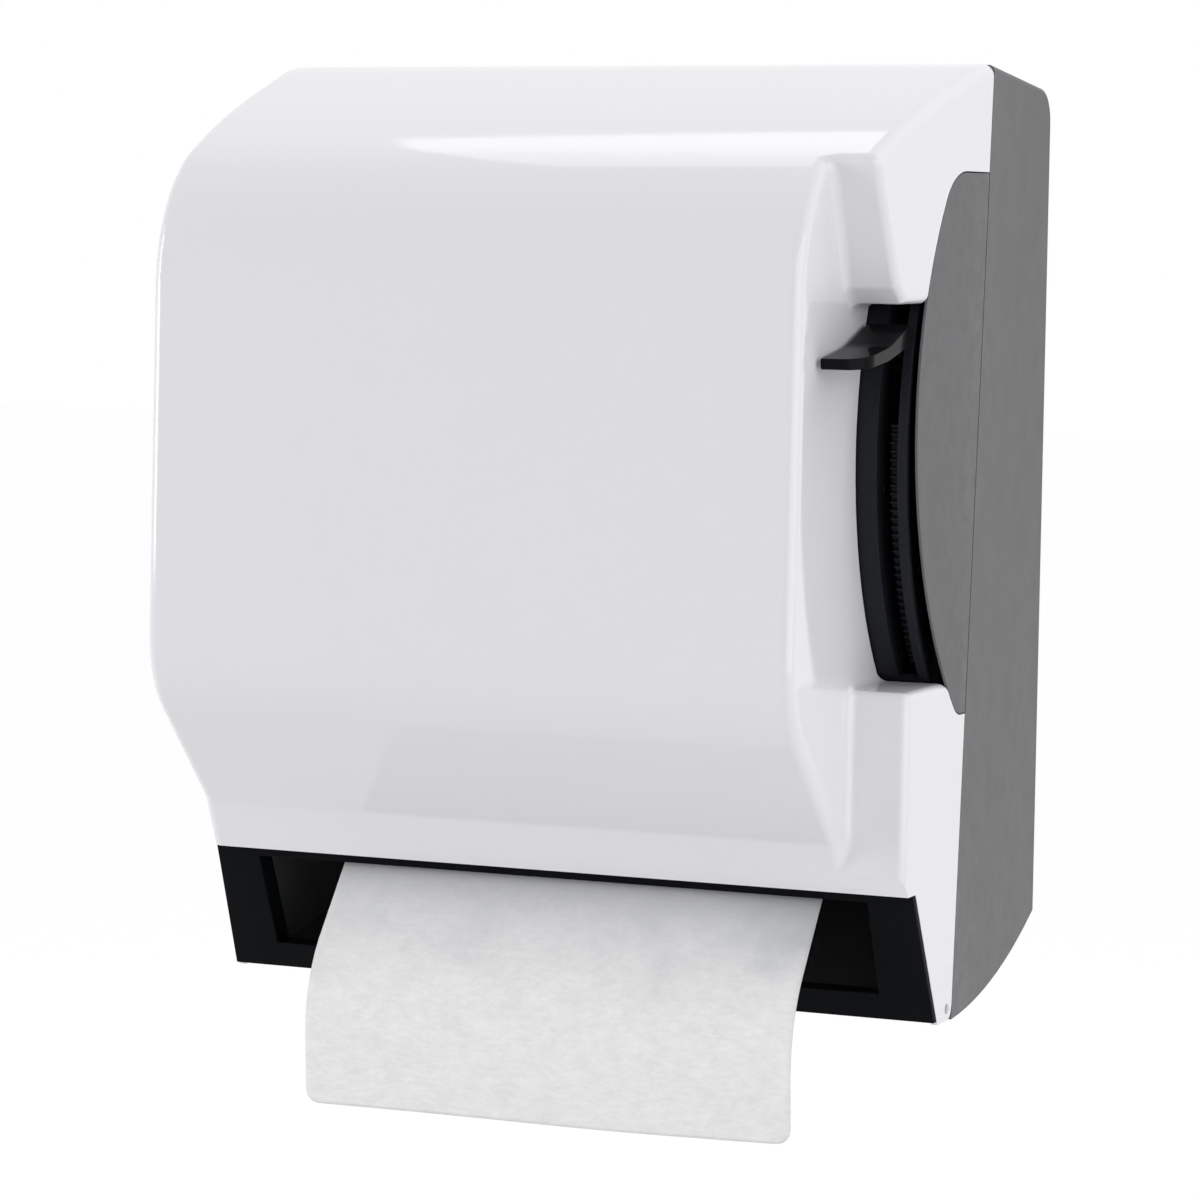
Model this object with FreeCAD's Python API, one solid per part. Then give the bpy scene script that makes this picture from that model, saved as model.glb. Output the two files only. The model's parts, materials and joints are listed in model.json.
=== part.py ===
"""Lever paper towel dispenser: every piece of it, one STEP file each.

Millimetres. +X is the right-hand side seen from the front, -Y is forward, +Z is up.
Inside this file heights are measured from the foot of the casing and Y = 0 is the wall.
On saving, everything is lowered by SCREW_CENTRE_HEIGHT, so that the part's origin is the
centre of the wall screw pattern on the rear face.
"""
import FreeCAD
import Part
import math
import os

V = FreeCAD.Vector

# ---------------------------------------------------------------- towel roll and the room round it
ROLL_LENGTH = 200.0
ROLL_RADIUS = 98.0
SIDE_ROOM = 50.0              # each end of the roll to the side: hubs, plates, lever guide, walls
REAR_ROOM = 27.0              # wall to the full roll
FRONT_ROOM = 15.5             # full roll to the most forward line of the cover
FOOT_ROOM = 131.0             # foot of the casing to the full roll
HEAD_ROOM = 41.0              # full roll to the top
ROLL_DEPTH = REAR_ROOM + ROLL_RADIUS
ROLL_HEIGHT = FOOT_ROOM + ROLL_RADIUS

# ---------------------------------------------------------------- casing and cover
BODY_WIDTH = ROLL_LENGTH + 2 * SIDE_ROOM
BODY_HEIGHT = FOOT_ROOM + 2 * ROLL_RADIUS + HEAD_ROOM
BODY_DEPTH = REAR_ROOM + 2 * ROLL_RADIUS + FRONT_ROOM
SIDE = BODY_WIDTH / 2
CASING_DEPTH_TOP = BODY_DEPTH - 150.5  # depth of the rear casing at its top edge
CASING_DEPTH_FOOT = BODY_DEPTH - 116.5  # and at its foot: the seam slants
SIDE_FLARE = 0.09             # the sides lean in by this much per mm forward of the seam
CASING_WALL = 3.0
COVER_WALL = 2.5
SEAM = 0.5                    # gap between cover and casing
CASING_TOP_FALL = 8.0         # the casing's top falls this far from the seam to the wall
CASING_REAR_RADIUS = 14.0
CASING_FOOT_SWEEP = 317.0     # radius of the underside, which rises towards the wall
CASING_EDGE_RADIUS = 2.5

SHOULDER_START = BODY_DEPTH - 144.5  # depth at which the cover's flat top turns into the slope
TOP_RADIUS = 100.0
SHOULDER_SLOPE = 16.5         # degrees below horizontal
CROWN_DEPTH = BODY_DEPTH - 68.5  # here the slope steepens
CROWN_SLOPE = 24.0
CROWN_RADIUS = 400.0
SHOULDER_RADIUS = 60.0        # from the slope down into the front
FRONT_LEAN = 4.7              # the front is this much shallower at the shoulder than at the chin
CHIN_HEIGHT = 128.0           # height at which the front turns under
CHIN_RADIUS = 42.0
CHIN_DEPTH = 60.0             # how far the underside runs back
CHIN_DROP = 54.0              # and down
LIP_RUN = 10.5                # the steep strip below the underside
LIP_HEIGHT = 54.5             # height of the cover's lower front edge
KINK_RADIUS = 8.0
COVER_EDGE_RADIUS = 5.0
POCKET_EDGE_RADIUS = 3.5

# ---------------------------------------------------------------- lever pocket in the cover
POCKET_X = SIDE - 28.5        # outer face of the pocket's long side wall
POCKET_FACET_TOP_DEPTH = BODY_DEPTH - 34.5
POCKET_FACET_FOOT_DEPTH = BODY_DEPTH - 57.5
POCKET_FLOOR_DEPTH = BODY_DEPTH - 68.5
POCKET_FLOOR_LEAN = 2.0
POCKET_RISE = 51.0            # height of the slanted facet above the slot
LEDGE_RISE = 6.0              # the strip that turns under between the facet and the slot's upper end
LEDGE_RUN = 5.0
POCKET_FOOT = 61.0

# ---------------------------------------------------------------- lever and its guide
PIVOT_DEPTH = BODY_DEPTH - 198.5
PIVOT_HEIGHT = 219.0
GUIDE_RADIUS = 126.0          # outer face of the curved guide
GUIDE_WALL = 3.0
GUIDE_X0 = SIDE - 32.5
GUIDE_X1 = SIDE - 9.2
SLOT_TOP_ANGLE = 27.0         # visible slot, degrees above and below the pivot
SLOT_FOOT_ANGLE = -44.0
GROOVE_X0 = SIDE - 20.7
GROOVE_X1 = SIDE - 12.8
FLANK_WALL = 2.0              # walls of the guide on both sides of the groove
FLANK_DEPTH = 11.0
GROOVE_TOP_ANGLE = 29.5
GROOVE_FOOT_ANGLE = -43.4
RACK_TOP = 6.0                # tips of the rack's teeth below the guide's outer face
RACK_TOOTH = 1.8
RACK_BASE = 3.0
RACK_WIDTH = 4.5
RACK_PITCH = 3.3
RACK_TOP_ANGLE = 6.0
LEVER_ANGLE = 22.0            # direction of the lever arm at rest
LEVER_STROKE = 46.0
ARM_X0 = GROOVE_X0 + 0.4
ARM_X1 = ARM_X0 + 2.5
ARM_HEIGHT = 12.0
ARM_END_RISE = 1.2            # the arm's upper edge at its end, above its middle line
ARM_END_DROP = 4.5
HUB_RADIUS = 12.0
HUB_TUBE_RADIUS = 8.5
PIVOT_RADIUS = 5.0
RIVET_RADIUS = 2.0
STOP_RADIUS = 4.0
STOP_PIN_RADIUS = 2.0
STOP_REACH = 70.0             # lever pivot to the rubber stop
SPRING_ROOM = 6.5
SPRING_WIRE = 1.8
PADDLE_X0 = SIDE - 26.6
PADDLE_X1 = SIDE - 9.6
PADDLE_THICKNESS = 4.0
PADDLE_TIP_DEPTH = PIVOT_DEPTH + 178
PADDLE_TIP_HEIGHT = PIVOT_HEIGHT + 38
PADDLE_ROOT_RADIUS = 128.4
PADDLE_ROOT_RISE = 1.2        # degrees above and below the arm's line
PADDLE_ROOT_DROP = 2.9
PADDLE_CORNER = 12.0
EAR_RADIUS = 155.4            # front edge of the casing's ear
EAR_CENTRE_DEPTH = PIVOT_DEPTH - 31.6
EAR_CENTRE_HEIGHT = PIVOT_HEIGHT + 7.6
EAR_TOP = PIVOT_HEIGHT + 106.5
EAR_FOOT = PIVOT_HEIGHT - 100.5
EAR_TOP_CORNER = 25.0
EAR_FOOT_CORNER = 10.0
EAR_LIP = 1.0                 # the ear's wall is thinned to this along its front edge
EAR_LIP_DEPTH = 10.0
EAR_LINE_WIDTH = 0.8          # engraved line where the ear leaves the casing's side
EAR_LINE_DEPTH = 0.6

# ---------------------------------------------------------------- gears
MODULE = 1.25
SECTOR_TEETH = 144            # of the full circle
SECTOR_SPARE = 4.0            # degrees of teeth beyond each end of the stroke
IDLER_TEETH = 40
ROLLER_GEAR_TEETH = 20
PRESSURE_ANGLE = 20.0
BACKLASH = 0.22
GEAR_X0 = SIDE - 30.4
GEAR_X1 = SIDE - 24.6
IDLER_ANGLE = -59.0           # direction from the lever pivot to the idler
ROLLER_ANGLE = -81.5          # direction from the idler to the feed roller

# ---------------------------------------------------------------- rollers and web
FEED_RADIUS = 15.0
FEED_CORE_RADIUS = 12.0
FEED_SHAFT_RADIUS = 4.0
IDLER_AXLE_RADIUS = 4.0
CLUTCH_RADIUS = 7.5
BUSH_RADIUS = 7.0
PINCH_BUSH_RADIUS = 5.5
PINCH_RADIUS = 9.0
PINCH_AXLE_RADIUS = 3.0
NIP_ANGLE = 43.0              # the pinch roller lies ahead of the feed roller and above it
ROLLER_HALF = SIDE - 46
RING_WIDTH = 22.0
RING_COUNT = 4
SHEET_THICKNESS = 0.4
SHEET_WIDTH = ROLL_LENGTH
SHEET_BEND_DEPTH = BODY_DEPTH - 42.5
SHEET_BEND_RADIUS = 55.0
SHEET_FOOT = -38.5
WEB_GAP = 0.3

# ---------------------------------------------------------------- roll of towel
CORE_RADIUS = 21.5
CORE_WALL = 2.0
RELEASE_X = 38 - SIDE         # hinge of the release arm
RELEASE_DEPTH = 20.0
RELEASE_PIN_RADIUS = 2.0
RELEASE_HALF = 12.0           # half height of the release arm
BRACKET_SHEET = 2.5
BRACKET_GAP = 0.4             # above and below the arm
BRACKET_SCREW_X = 11.0        # screws beside the hinge, and above and below the arm
BRACKET_SCREW_Z = 17.0
ARM_INNER_X = 41 - SIDE
ARM_THICKNESS = 5.0
HUB_CONE = 17.0
HUB_DEPTH = 12.0

# ---------------------------------------------------------------- chassis
PLATE_X0 = SIDE - 36.5
PLATE_THICKNESS = 2.5
PLATE_RISE = 70.0             # right plate's top above the lever pivot
PLATE_DROP = 34.0             # both plates' foot below the feed roller
PLATE_SWELL = 34.0            # half height of the right plate's nose behind the guide
LEFT_PLATE_RISE = 26.0        # left plate's top above the pinch roller
BOSS_HEIGHT = 6.0
BOSS_RIM = 2.6
BOSS_HEIGHTS_RIGHT = (70.0, 180.0, 250.0)
BOSS_HEIGHTS_LEFT = (60.0, 112.0)
FLANGE_WIDTH = 16.0
NOSE_DEPTH = BODY_DEPTH - 81.5
NOSE_THICKNESS = 7.0
TEAR_HALF = SIDE - 44
TEAR_PITCH = 4.0
TEAR_TOOTH = 1.8
TEAR_THICKNESS = 0.8
SCREW_RADIUS = 1.5
SCREW_HEAD_RADIUS = 3.4
SCREW_HEAD_HEIGHT = 2.2
RUNNING = 0.06                # radial clearance of a running fit
FIT = 0.03                    # radial clearance of a seated pin
TOUCH = 0.05                  # how near a point counts as lying on a face

# ---------------------------------------------------------------- chin frame and hinge
FRAME_FACE_TOP_DEPTH = BODY_DEPTH - 74.8
FRAME_FACE_FOOT_DEPTH = BODY_DEPTH - 98.2
FRAME_FOOT = 1.7
FRAME_THICKNESS = 3.0
WINDOW_HALF = SIDE - 22.5
WINDOW_TOP = 50.5
WINDOW_FOOT = 12.5
HINGE_DEPTH = BODY_DEPTH - 111.5
HINGE_HEIGHT = 5.0
HINGE_PIN_RADIUS = 2.0
SKIRT_RIM = 2.6               # wall of the cover's skirt round its hinge hole

# ---------------------------------------------------------------- wall mount and lock
SCREW_SPACING_X = BODY_WIDTH - 110
SCREW_SPACING_Z = BODY_HEIGHT - 138
SCREW_CENTRE_HEIGHT = BODY_HEIGHT / 2
WALL_HOLE_RADIUS = 3.25
LOCK_DEPTH = CASING_DEPTH_TOP - 30
LOCK_RADIUS = 8.0
PLUG_RADIUS = 5.5
CAM_REACH = 26.0
KEEPER_X0 = -30.0
KEEPER_X1 = -14.0
KEEPER_TOP = BODY_HEIGHT - 12


# ================================================================ helpers
def box(x0, x1, y0, y1, z0, z1):
    return Part.makeBox(x1 - x0, y1 - y0, z1 - z0, V(x0, y0, z0))


def cyl_x(y, z, radius, x0, x1):
    return Part.makeCylinder(radius, x1 - x0, V(x0, y, z), V(1, 0, 0))


def cyl_y(x, z, radius, y0, y1):
    return Part.makeCylinder(radius, y1 - y0, V(x, y0, z), V(0, 1, 0))


def cyl_z(x, y, radius, z0, z1):
    return Part.makeCylinder(radius, z1 - z0, V(x, y, z0), V(0, 0, 1))


def tube_x(y, z, r_out, r_in, x0, x1):
    return cyl_x(y, z, r_out, x0, x1).cut(cyl_x(y, z, r_in, x0 - 1, x1 + 1))


def mirrored(shape):
    """The same shape on the other side of the YZ plane."""
    return shape.mirror(V(0, 0, 0), V(1, 0, 0))


def polar(y, z, radius, degrees):
    """Point at an angle above straight ahead (-Y) of a centre."""
    a = math.radians(degrees)
    return (y - radius * math.cos(a), z + radius * math.sin(a))


def polygon_x(points, x0, x1):
    """Flat-sided plate: a (y, z) outline given thickness from x0 to x1."""
    wire = Part.makePolygon([V(x0, y, z) for y, z in points + points[:1]])
    return Part.Face(wire).extrude(V(x1 - x0, 0, 0))


def corner_arc(before, here, after, radius):
    """Tangent points and middle of the arc that rounds a corner of an outline."""
    a = V(before[0] - here[0], before[1] - here[1], 0).normalize()
    b = V(after[0] - here[0], after[1] - here[1], 0).normalize()
    half = a.getAngle(b) / 2
    corner = V(here[0], here[1], 0)
    reach = radius / math.tan(half)
    centre = corner + (a + b).normalize() * (radius / math.sin(half))
    middle = centre + (corner - centre).normalize() * radius
    return corner + a * reach, middle, corner + b * reach


def rounded_x(corners, x0, x1):
    """Plate from (y, z, radius) corners, whose arcs are tangent to both sides."""
    count = len(corners)
    edges = []
    ends = []
    for i, (y, z, radius) in enumerate(corners):
        if radius > 0:
            ends.append(corner_arc(corners[i - 1], (y, z), corners[(i + 1) % count], radius))
        else:
            ends.append((V(y, z, 0), None, V(y, z, 0)))
    for i in range(count):
        first, middle, last = [p and V(x0, p.x, p.y) for p in ends[i]]
        following = ends[(i + 1) % count][0]
        if middle:
            edges.append(Part.Arc(first, middle, last).toShape())
        if (V(x0, following.x, following.y) - last).Length > 1e-6:
            edges.append(Part.LineSegment(last, V(x0, following.x, following.y)).toShape())
    return Part.Face(Part.Wire(edges)).extrude(V(x1 - x0, 0, 0))


def inset_chain(chain, gap):
    """An open run of (y, z, radius) corners moved to its left-hand side by gap."""
    lines = []
    for (y0, z0, _), (y1, z1, _) in zip(chain, chain[1:]):
        along = V(y1 - y0, z1 - z0, 0).normalize()
        lines.append((V(y0, z0, 0) + V(-along.y, along.x, 0) * gap, along))
    moved = [(lines[0][0].x, lines[0][0].y, 0)]
    for (p, d), (q, e), (y, z, radius) in zip(lines, lines[1:], chain[1:]):
        step = ((q.x - p.x) * e.y - (q.y - p.y) * e.x) / (d.x * e.y - d.y * e.x)
        turn_left = d.x * e.y - d.y * e.x > 0
        grown = radius - gap if turn_left else radius + gap
        moved.append((p.x + d.x * step, p.y + d.y * step, max(grown, 0.5) if radius else 0))
    p, d = lines[-1]
    length = math.dist(chain[-1][:2], chain[-2][:2])
    moved.append((p.x + d.x * length, p.y + d.y * length, 0))
    return moved


def arc_band(r_in, r_out, angle0, angle1, x0, x1):
    """Part of a ring about the lever pivot, between two angles above straight ahead."""
    y, z = -PIVOT_DEPTH, PIVOT_HEIGHT
    mid = (angle0 + angle1) / 2
    edges = []
    for radius, first, last in ((r_in, angle0, angle1), (r_out, angle1, angle0)):
        points = [V(x0, *polar(y, z, radius, a)) for a in (first, mid, last)]
        edges.append(Part.Arc(*points).toShape())
    for angle in (angle1, angle0):
        ends = [V(x0, *polar(y, z, radius, angle)) for radius in (r_in, r_out)]
        edges.append(Part.LineSegment(*ends).toShape())
    return Part.Face(Part.Wire(Part.__sortEdges__(edges))).extrude(V(x1 - x0, 0, 0))


def join(shapes):
    whole = shapes[0]
    for shape in shapes[1:]:
        whole = whole.fuse(shape)
    return whole.removeSplitter()


def save(name, shape):
    """Write one piece, with the origin moved to the centre of the wall screws."""
    placed = shape.copy()
    placed.translate(V(0, 0, -SCREW_CENTRE_HEIGHT))
    solids = placed.Solids
    whole = solids[0] if len(solids) == 1 else Part.makeCompound(solids)
    if not solids or not whole.isValid():
        raise RuntimeError(name + " is not a valid solid")
    whole.exportStep(os.path.join("parts", name + ".step"))


# ================================================================ body envelope
def seam_y(z, gap=0.0):
    """Y of the slanted seam between casing and cover."""
    slant = (CASING_DEPTH_TOP - CASING_DEPTH_FOOT) / BODY_HEIGHT
    return -(CASING_DEPTH_FOOT + slant * z + gap)


def side_x(y, z):
    """Outer half width of the body."""
    return BODY_WIDTH / 2 - SIDE_FLARE * max(seam_y(z) - y, 0)


def outside_right(inset):
    """Everything outside the leaning right-hand side, moved in by inset."""
    foot = V(BODY_WIDTH / 2 - inset, seam_y(0), 0)
    rise = V(0, seam_y(BODY_HEIGHT) - seam_y(0), BODY_HEIGHT)
    ahead = V(-SIDE_FLARE, -1, 0) * BODY_DEPTH
    corners = [foot + rise * s + ahead * t for s, t in ((-0.3, -0.3), (1.3, -0.3), (1.3, 1.3), (-0.3, 1.3))]
    return Part.Face(Part.makePolygon(corners + corners[:1])).extrude(V(BODY_WIDTH, 0, 0))


def between_sides(shape, inset):
    right = outside_right(inset)
    return shape.cut(right).cut(mirrored(right))


def ahead_of_seam(gap):
    low, high = -BODY_HEIGHT, 2 * BODY_HEIGHT
    far = -2 * BODY_DEPTH
    outline = [(seam_y(low, gap), low), (seam_y(high, gap), high), (far, high), (far, low)]
    return polygon_x(outline, -BODY_WIDTH, BODY_WIDTH)


def cover_chain():
    """Side view of the cover from its top edge, over the front, to its lower lip."""
    chin_y = -BODY_DEPTH
    shoulder_y = -(BODY_DEPTH - FRONT_LEAN)
    kink_y = chin_y + CHIN_DEPTH
    kink_z = CHIN_HEIGHT - CHIN_DROP
    return [
        (0, BODY_HEIGHT, 0),
        (-SHOULDER_START, BODY_HEIGHT, TOP_RADIUS),
        (-CROWN_DEPTH, slope_z(-CROWN_DEPTH), CROWN_RADIUS),
        (shoulder_y, slope_z(shoulder_y), SHOULDER_RADIUS),
        (chin_y, CHIN_HEIGHT, CHIN_RADIUS),
        (kink_y, kink_z, KINK_RADIUS),
        (kink_y + LIP_RUN, LIP_HEIGHT, 0),
    ]


def slope_z(y):
    """Height of the cover's top slope at a depth."""
    near, far = (math.tan(math.radians(a)) for a in (SHOULDER_SLOPE, CROWN_SLOPE))
    return BODY_HEIGHT + (y + SHOULDER_START) * near + min(y + CROWN_DEPTH, 0) * (far - near)


def frame_face(z, behind=0.0):
    """Y of the chin frame's front face, or of a plane behind it."""
    share = (z - FRAME_FOOT) / (LIP_HEIGHT - FRAME_FOOT)
    run = FRAME_FACE_TOP_DEPTH - FRAME_FACE_FOOT_DEPTH
    slant = math.hypot(run, LIP_HEIGHT - FRAME_FOOT) / (LIP_HEIGHT - FRAME_FOOT)
    return -(FRAME_FACE_FOOT_DEPTH + run * share) + behind * slant


def pocket_outline(grow):
    """Side view of the pocket that is cut out of the cover round the lever."""
    slot_top = PIVOT_HEIGHT + GUIDE_RADIUS * math.sin(math.radians(SLOT_TOP_ANGLE)) + grow
    slot_foot = PIVOT_HEIGHT + GUIDE_RADIUS * math.sin(math.radians(SLOT_FOOT_ANGLE)) - grow
    back = -BODY_DEPTH / 2 + 18
    far = -1.4 * BODY_DEPTH
    facet = (POCKET_FACET_TOP_DEPTH - POCKET_FACET_FOOT_DEPTH) / POCKET_RISE
    reach = 1.6 * POCKET_RISE
    top_y = -(POCKET_FACET_FOOT_DEPTH + facet * reach) + grow
    return [
        (far, slot_top + reach, 0),
        (top_y, slot_top + reach, 0),
        (-(POCKET_FACET_FOOT_DEPTH + facet * LEDGE_RISE) + grow, slot_top + LEDGE_RISE, 0),
        (-POCKET_FACET_FOOT_DEPTH + LEDGE_RUN + grow, slot_top, 0),
        (back, slot_top, 0),
        (back, slot_foot, 0),
        (-POCKET_FLOOR_DEPTH + grow, slot_foot, 0),
        (-POCKET_FLOOR_DEPTH - POCKET_FLOOR_LEAN + grow, POCKET_FOOT - grow, 0),
        (far, POCKET_FOOT - grow, 0),
    ]


def pocket(grow):
    """The pocket's space: right of its long wall and ahead of its floors."""
    return rounded_x(pocket_outline(grow), POCKET_X - grow, BODY_WIDTH)


def cover_block(inset):
    """The cover's outer form, or its hollow when inset by the wall."""
    chain = cover_chain()
    if inset:
        chain = inset_chain(chain, inset)
        foot = -BODY_HEIGHT
        chain += [(chain[-1][0], foot, 0), (0, foot, 0)]
    else:
        rear_top = frame_face(LIP_HEIGHT, FRAME_THICKNESS)
        rear_foot = frame_face(0, FRAME_THICKNESS)
        chain += [(rear_top, LIP_HEIGHT, 0), (rear_foot, 0, 0), (0, 0, 0)]
    block = rounded_x(chain, -BODY_WIDTH, BODY_WIDTH)
    block = between_sides(block, inset).cut(pocket(inset))
    return block if inset else block.common(ahead_of_seam(SEAM))


def ear_outline(gap):
    """Side view of the ear that fills the cover's side beside the lever slot."""
    y, z, radius = -EAR_CENTRE_DEPTH, EAR_CENTRE_HEIGHT, EAR_RADIUS + gap
    top = EAR_TOP + gap
    foot = EAR_FOOT - gap
    upper = math.degrees(math.asin((top - EAR_TOP_CORNER - z) / (radius - EAR_TOP_CORNER)))
    lower = math.degrees(math.asin((foot + EAR_FOOT_CORNER - z) / (radius - EAR_FOOT_CORNER)))
    upper_centre = polar(y, z, radius - EAR_TOP_CORNER, upper)
    lower_centre = polar(y, z, radius - EAR_FOOT_CORNER, lower)
    bend_up = polar(*upper_centre, EAR_TOP_CORNER, (90 + upper) / 2)
    bend_down = polar(*lower_centre, EAR_FOOT_CORNER, (lower - 90) / 2)
    rear = -CASING_DEPTH_TOP + 12
    return [
        ("line", (rear, foot), (lower_centre[0], foot)),
        ("arc", (lower_centre[0], foot), bend_down, polar(y, z, radius, lower)),
        ("arc", polar(y, z, radius, lower), polar(y, z, radius, 0), polar(y, z, radius, upper)),
        ("arc", polar(y, z, radius, upper), bend_up, (upper_centre[0], top)),
        ("line", (upper_centre[0], top), (rear, top)),
        ("line", (rear, top), (rear, foot)),
    ]


def ear_prism(gap, x0, x1):
    edges = []
    for kind, *points in ear_outline(gap):
        at = [V(x0, y, z) for y, z in points]
        edges.append((Part.LineSegment(*at) if kind == "line" else Part.Arc(*at)).toShape())
    return Part.Face(Part.Wire(edges)).extrude(V(x1 - x0, 0, 0))


# ================================================================ casing
def casing_outline(inset):
    """Side view of the rear casing, open at the seam."""
    fall = CASING_TOP_FALL / CASING_DEPTH_TOP
    front = -CASING_DEPTH_FOOT - 60 * bool(inset)
    top_front = BODY_HEIGHT + fall * (-front - CASING_DEPTH_TOP) - inset
    rear_top = BODY_HEIGHT - CASING_TOP_FALL - inset
    return [(front, top_front, 0), (-inset, rear_top, max(CASING_REAR_RADIUS - inset, 1))]


def casing_block(inset):
    front_y, front_z, _ = casing_outline(inset)[0]
    rear_y, rear_z, radius = casing_outline(inset)[1]
    block = rounded_x([(front_y, -50, 0), (rear_y, -50, 0), (rear_y, rear_z, radius), (front_y, front_z, 0)],
                      -BODY_WIDTH / 2 + inset, BODY_WIDTH / 2 - inset)
    centre_z = CASING_FOOT_SWEEP
    sweep = cyl_x(-CASING_DEPTH_FOOT, centre_z, CASING_FOOT_SWEEP - inset, -BODY_WIDTH, BODY_WIDTH)
    block = block.common(sweep)
    return block


def rear_casing():
    outer = casing_block(0).cut(ahead_of_seam(0))
    top_edges = [e for e in outer.Edges if e.BoundBox.XLength < 0.1 and e.BoundBox.ZMin > BODY_HEIGHT - 20
                 and e.BoundBox.YLength > 30 and abs(abs(e.BoundBox.XMin) - BODY_WIDTH / 2) < 0.1]
    outer = outer.makeFillet(CASING_EDGE_RADIUS, top_edges)
    shell = outer.cut(casing_block(CASING_WALL))
    shell = join([shell, ear()] + wall_bosses() + [hinge_lug(1), hinge_lug(-1)]).cut(ear_line())
    for x in (-SCREW_SPACING_X / 2, SCREW_SPACING_X / 2):
        for z in (-SCREW_SPACING_Z / 2, SCREW_SPACING_Z / 2):
            hole = cyl_y(x, SCREW_CENTRE_HEIGHT + z, WALL_HOLE_RADIUS, -CASING_WALL - 1, 1)
            shell = shell.cut(hole)
    shell = shell.cut(cyl_z(0, -LOCK_DEPTH, LOCK_RADIUS + FIT, BODY_HEIGHT - 40, BODY_HEIGHT + 10))
    for x, z in boss_places():
        shell = shell.cut(cyl_y(x, z, SCREW_RADIUS + FIT, -CASING_WALL - BOSS_HEIGHT - 1, -1))
    return shell


def ear():
    """Wall that runs forward of the seam beside the lever, thinned along its front edge."""
    plate = ear_prism(0, SIDE - 25, BODY_WIDTH).cut(outside_right(0)).common(outside_right(CASING_WALL))
    behind_front = box(0, SIDE, -BODY_DEPTH, seam_y(EAR_TOP) + 6, 0, BODY_HEIGHT)
    rim = ear_prism(1, SIDE - 25, SIDE).cut(ear_prism(-EAR_LIP_DEPTH, SIDE - 25, SIDE))
    rim = rim.common(ahead_of_seam(EAR_LIP_DEPTH)).cut(outside_right(EAR_LIP))
    return plate.common(behind_front).cut(rim)


def ear_line():
    """Fine groove down the casing's side along the seam's own line."""
    band = ahead_of_seam(-EAR_LINE_WIDTH / 2).cut(ahead_of_seam(EAR_LINE_WIDTH / 2))
    ear_heights = box(0, BODY_WIDTH, -BODY_DEPTH, 0, EAR_FOOT, EAR_TOP)
    return band.common(outside_right(EAR_LINE_DEPTH)).common(ear_heights)


def boss_places():
    """Where the two side plates and the release arm bracket screw to the back wall."""
    x = PLATE_X0 - FLANGE_WIDTH / 2
    places = [(x, z) for z in BOSS_HEIGHTS_RIGHT]
    places += [(-x, z) for z in BOSS_HEIGHTS_LEFT]
    places += [(RELEASE_X + BRACKET_SCREW_X, ROLL_HEIGHT + z) for z in (-BRACKET_SCREW_Z, BRACKET_SCREW_Z)]
    return places


def wall_bosses():
    depth = CASING_WALL + BOSS_HEIGHT
    return [cyl_y(x, z, SCREW_RADIUS + BOSS_RIM, -depth, -CASING_WALL / 2) for x, z in boss_places()]


def lug_x():
    """Outer face of the hinge lugs, just inside the cover's skirts."""
    return side_x(-HINGE_DEPTH, HINGE_HEIGHT) - COVER_WALL - 0.5


def hinge_lug(side):
    x1 = lug_x()
    x0 = x1 - 5
    boss = cyl_x(-HINGE_DEPTH, HINGE_HEIGHT, HINGE_PIN_RADIUS + 2.4, x0, x1)
    y_root = seam_y(0) + 14
    web = polygon_x([(-HINGE_DEPTH, HINGE_HEIGHT + 4.4), (y_root, HINGE_HEIGHT + 8), (y_root, 1.0),
                     (-HINGE_DEPTH, HINGE_HEIGHT - 4.4)], x0, x1)
    lug = boss.fuse(web).cut(cyl_x(-HINGE_DEPTH, HINGE_HEIGHT, HINGE_PIN_RADIUS + FIT, x0 - 1, x1 + 1))
    return lug if side > 0 else mirrored(lug)


def hinge_pins():
    x1 = side_x(-HINGE_DEPTH, HINGE_HEIGHT) - 0.6
    pin = cyl_x(-HINGE_DEPTH, HINGE_HEIGHT, HINGE_PIN_RADIUS, lug_x() - 7, x1)
    return Part.makeCompound([pin, mirrored(pin)])


# ================================================================ cover
def front_cover():
    outer = cover_block(0)
    outer = outer.makeFillet(COVER_EDGE_RADIUS, cover_edges(outer))
    outer = outer.makeFillet(POCKET_EDGE_RADIUS, pocket_edges(outer))
    shell = outer.cut(cover_block(COVER_WALL))
    guide_room = cyl_x(-PIVOT_DEPTH, PIVOT_HEIGHT, GUIDE_RADIUS + 1.2, POCKET_X - 2 * COVER_WALL,
                       side_x(-GUIDE_RADIUS - PIVOT_DEPTH, PIVOT_HEIGHT) - COVER_WALL + 0.1)
    shell = shell.cut(guide_room).cut(ear_prism(SEAM, POCKET_X, BODY_WIDTH))
    hole = cyl_x(-HINGE_DEPTH, HINGE_HEIGHT, HINGE_PIN_RADIUS + RUNNING, -BODY_WIDTH, BODY_WIDTH)
    shell = shell.cut(hole)
    shell = shell.cut(skirt_relief()).fuse(lock_pad())
    solids = sorted(shell.Solids, key=lambda s: s.Volume)
    return solids[-1]


def skirt_relief():
    """Rounds the skirts about the hinge, so that the cover swings clear of the casing."""
    radius = HINGE_PIN_RADIUS + SKIRT_RIM
    rear = box(-BODY_WIDTH, BODY_WIDTH, -HINGE_DEPTH, 0, -1, HINGE_HEIGHT)
    rear = rear.cut(cyl_x(-HINGE_DEPTH, HINGE_HEIGHT, radius, -BODY_WIDTH, BODY_WIDTH))
    return rear.fuse(box(-BODY_WIDTH, BODY_WIDTH, -BODY_DEPTH, 0, -1, HINGE_HEIGHT - radius))


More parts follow.
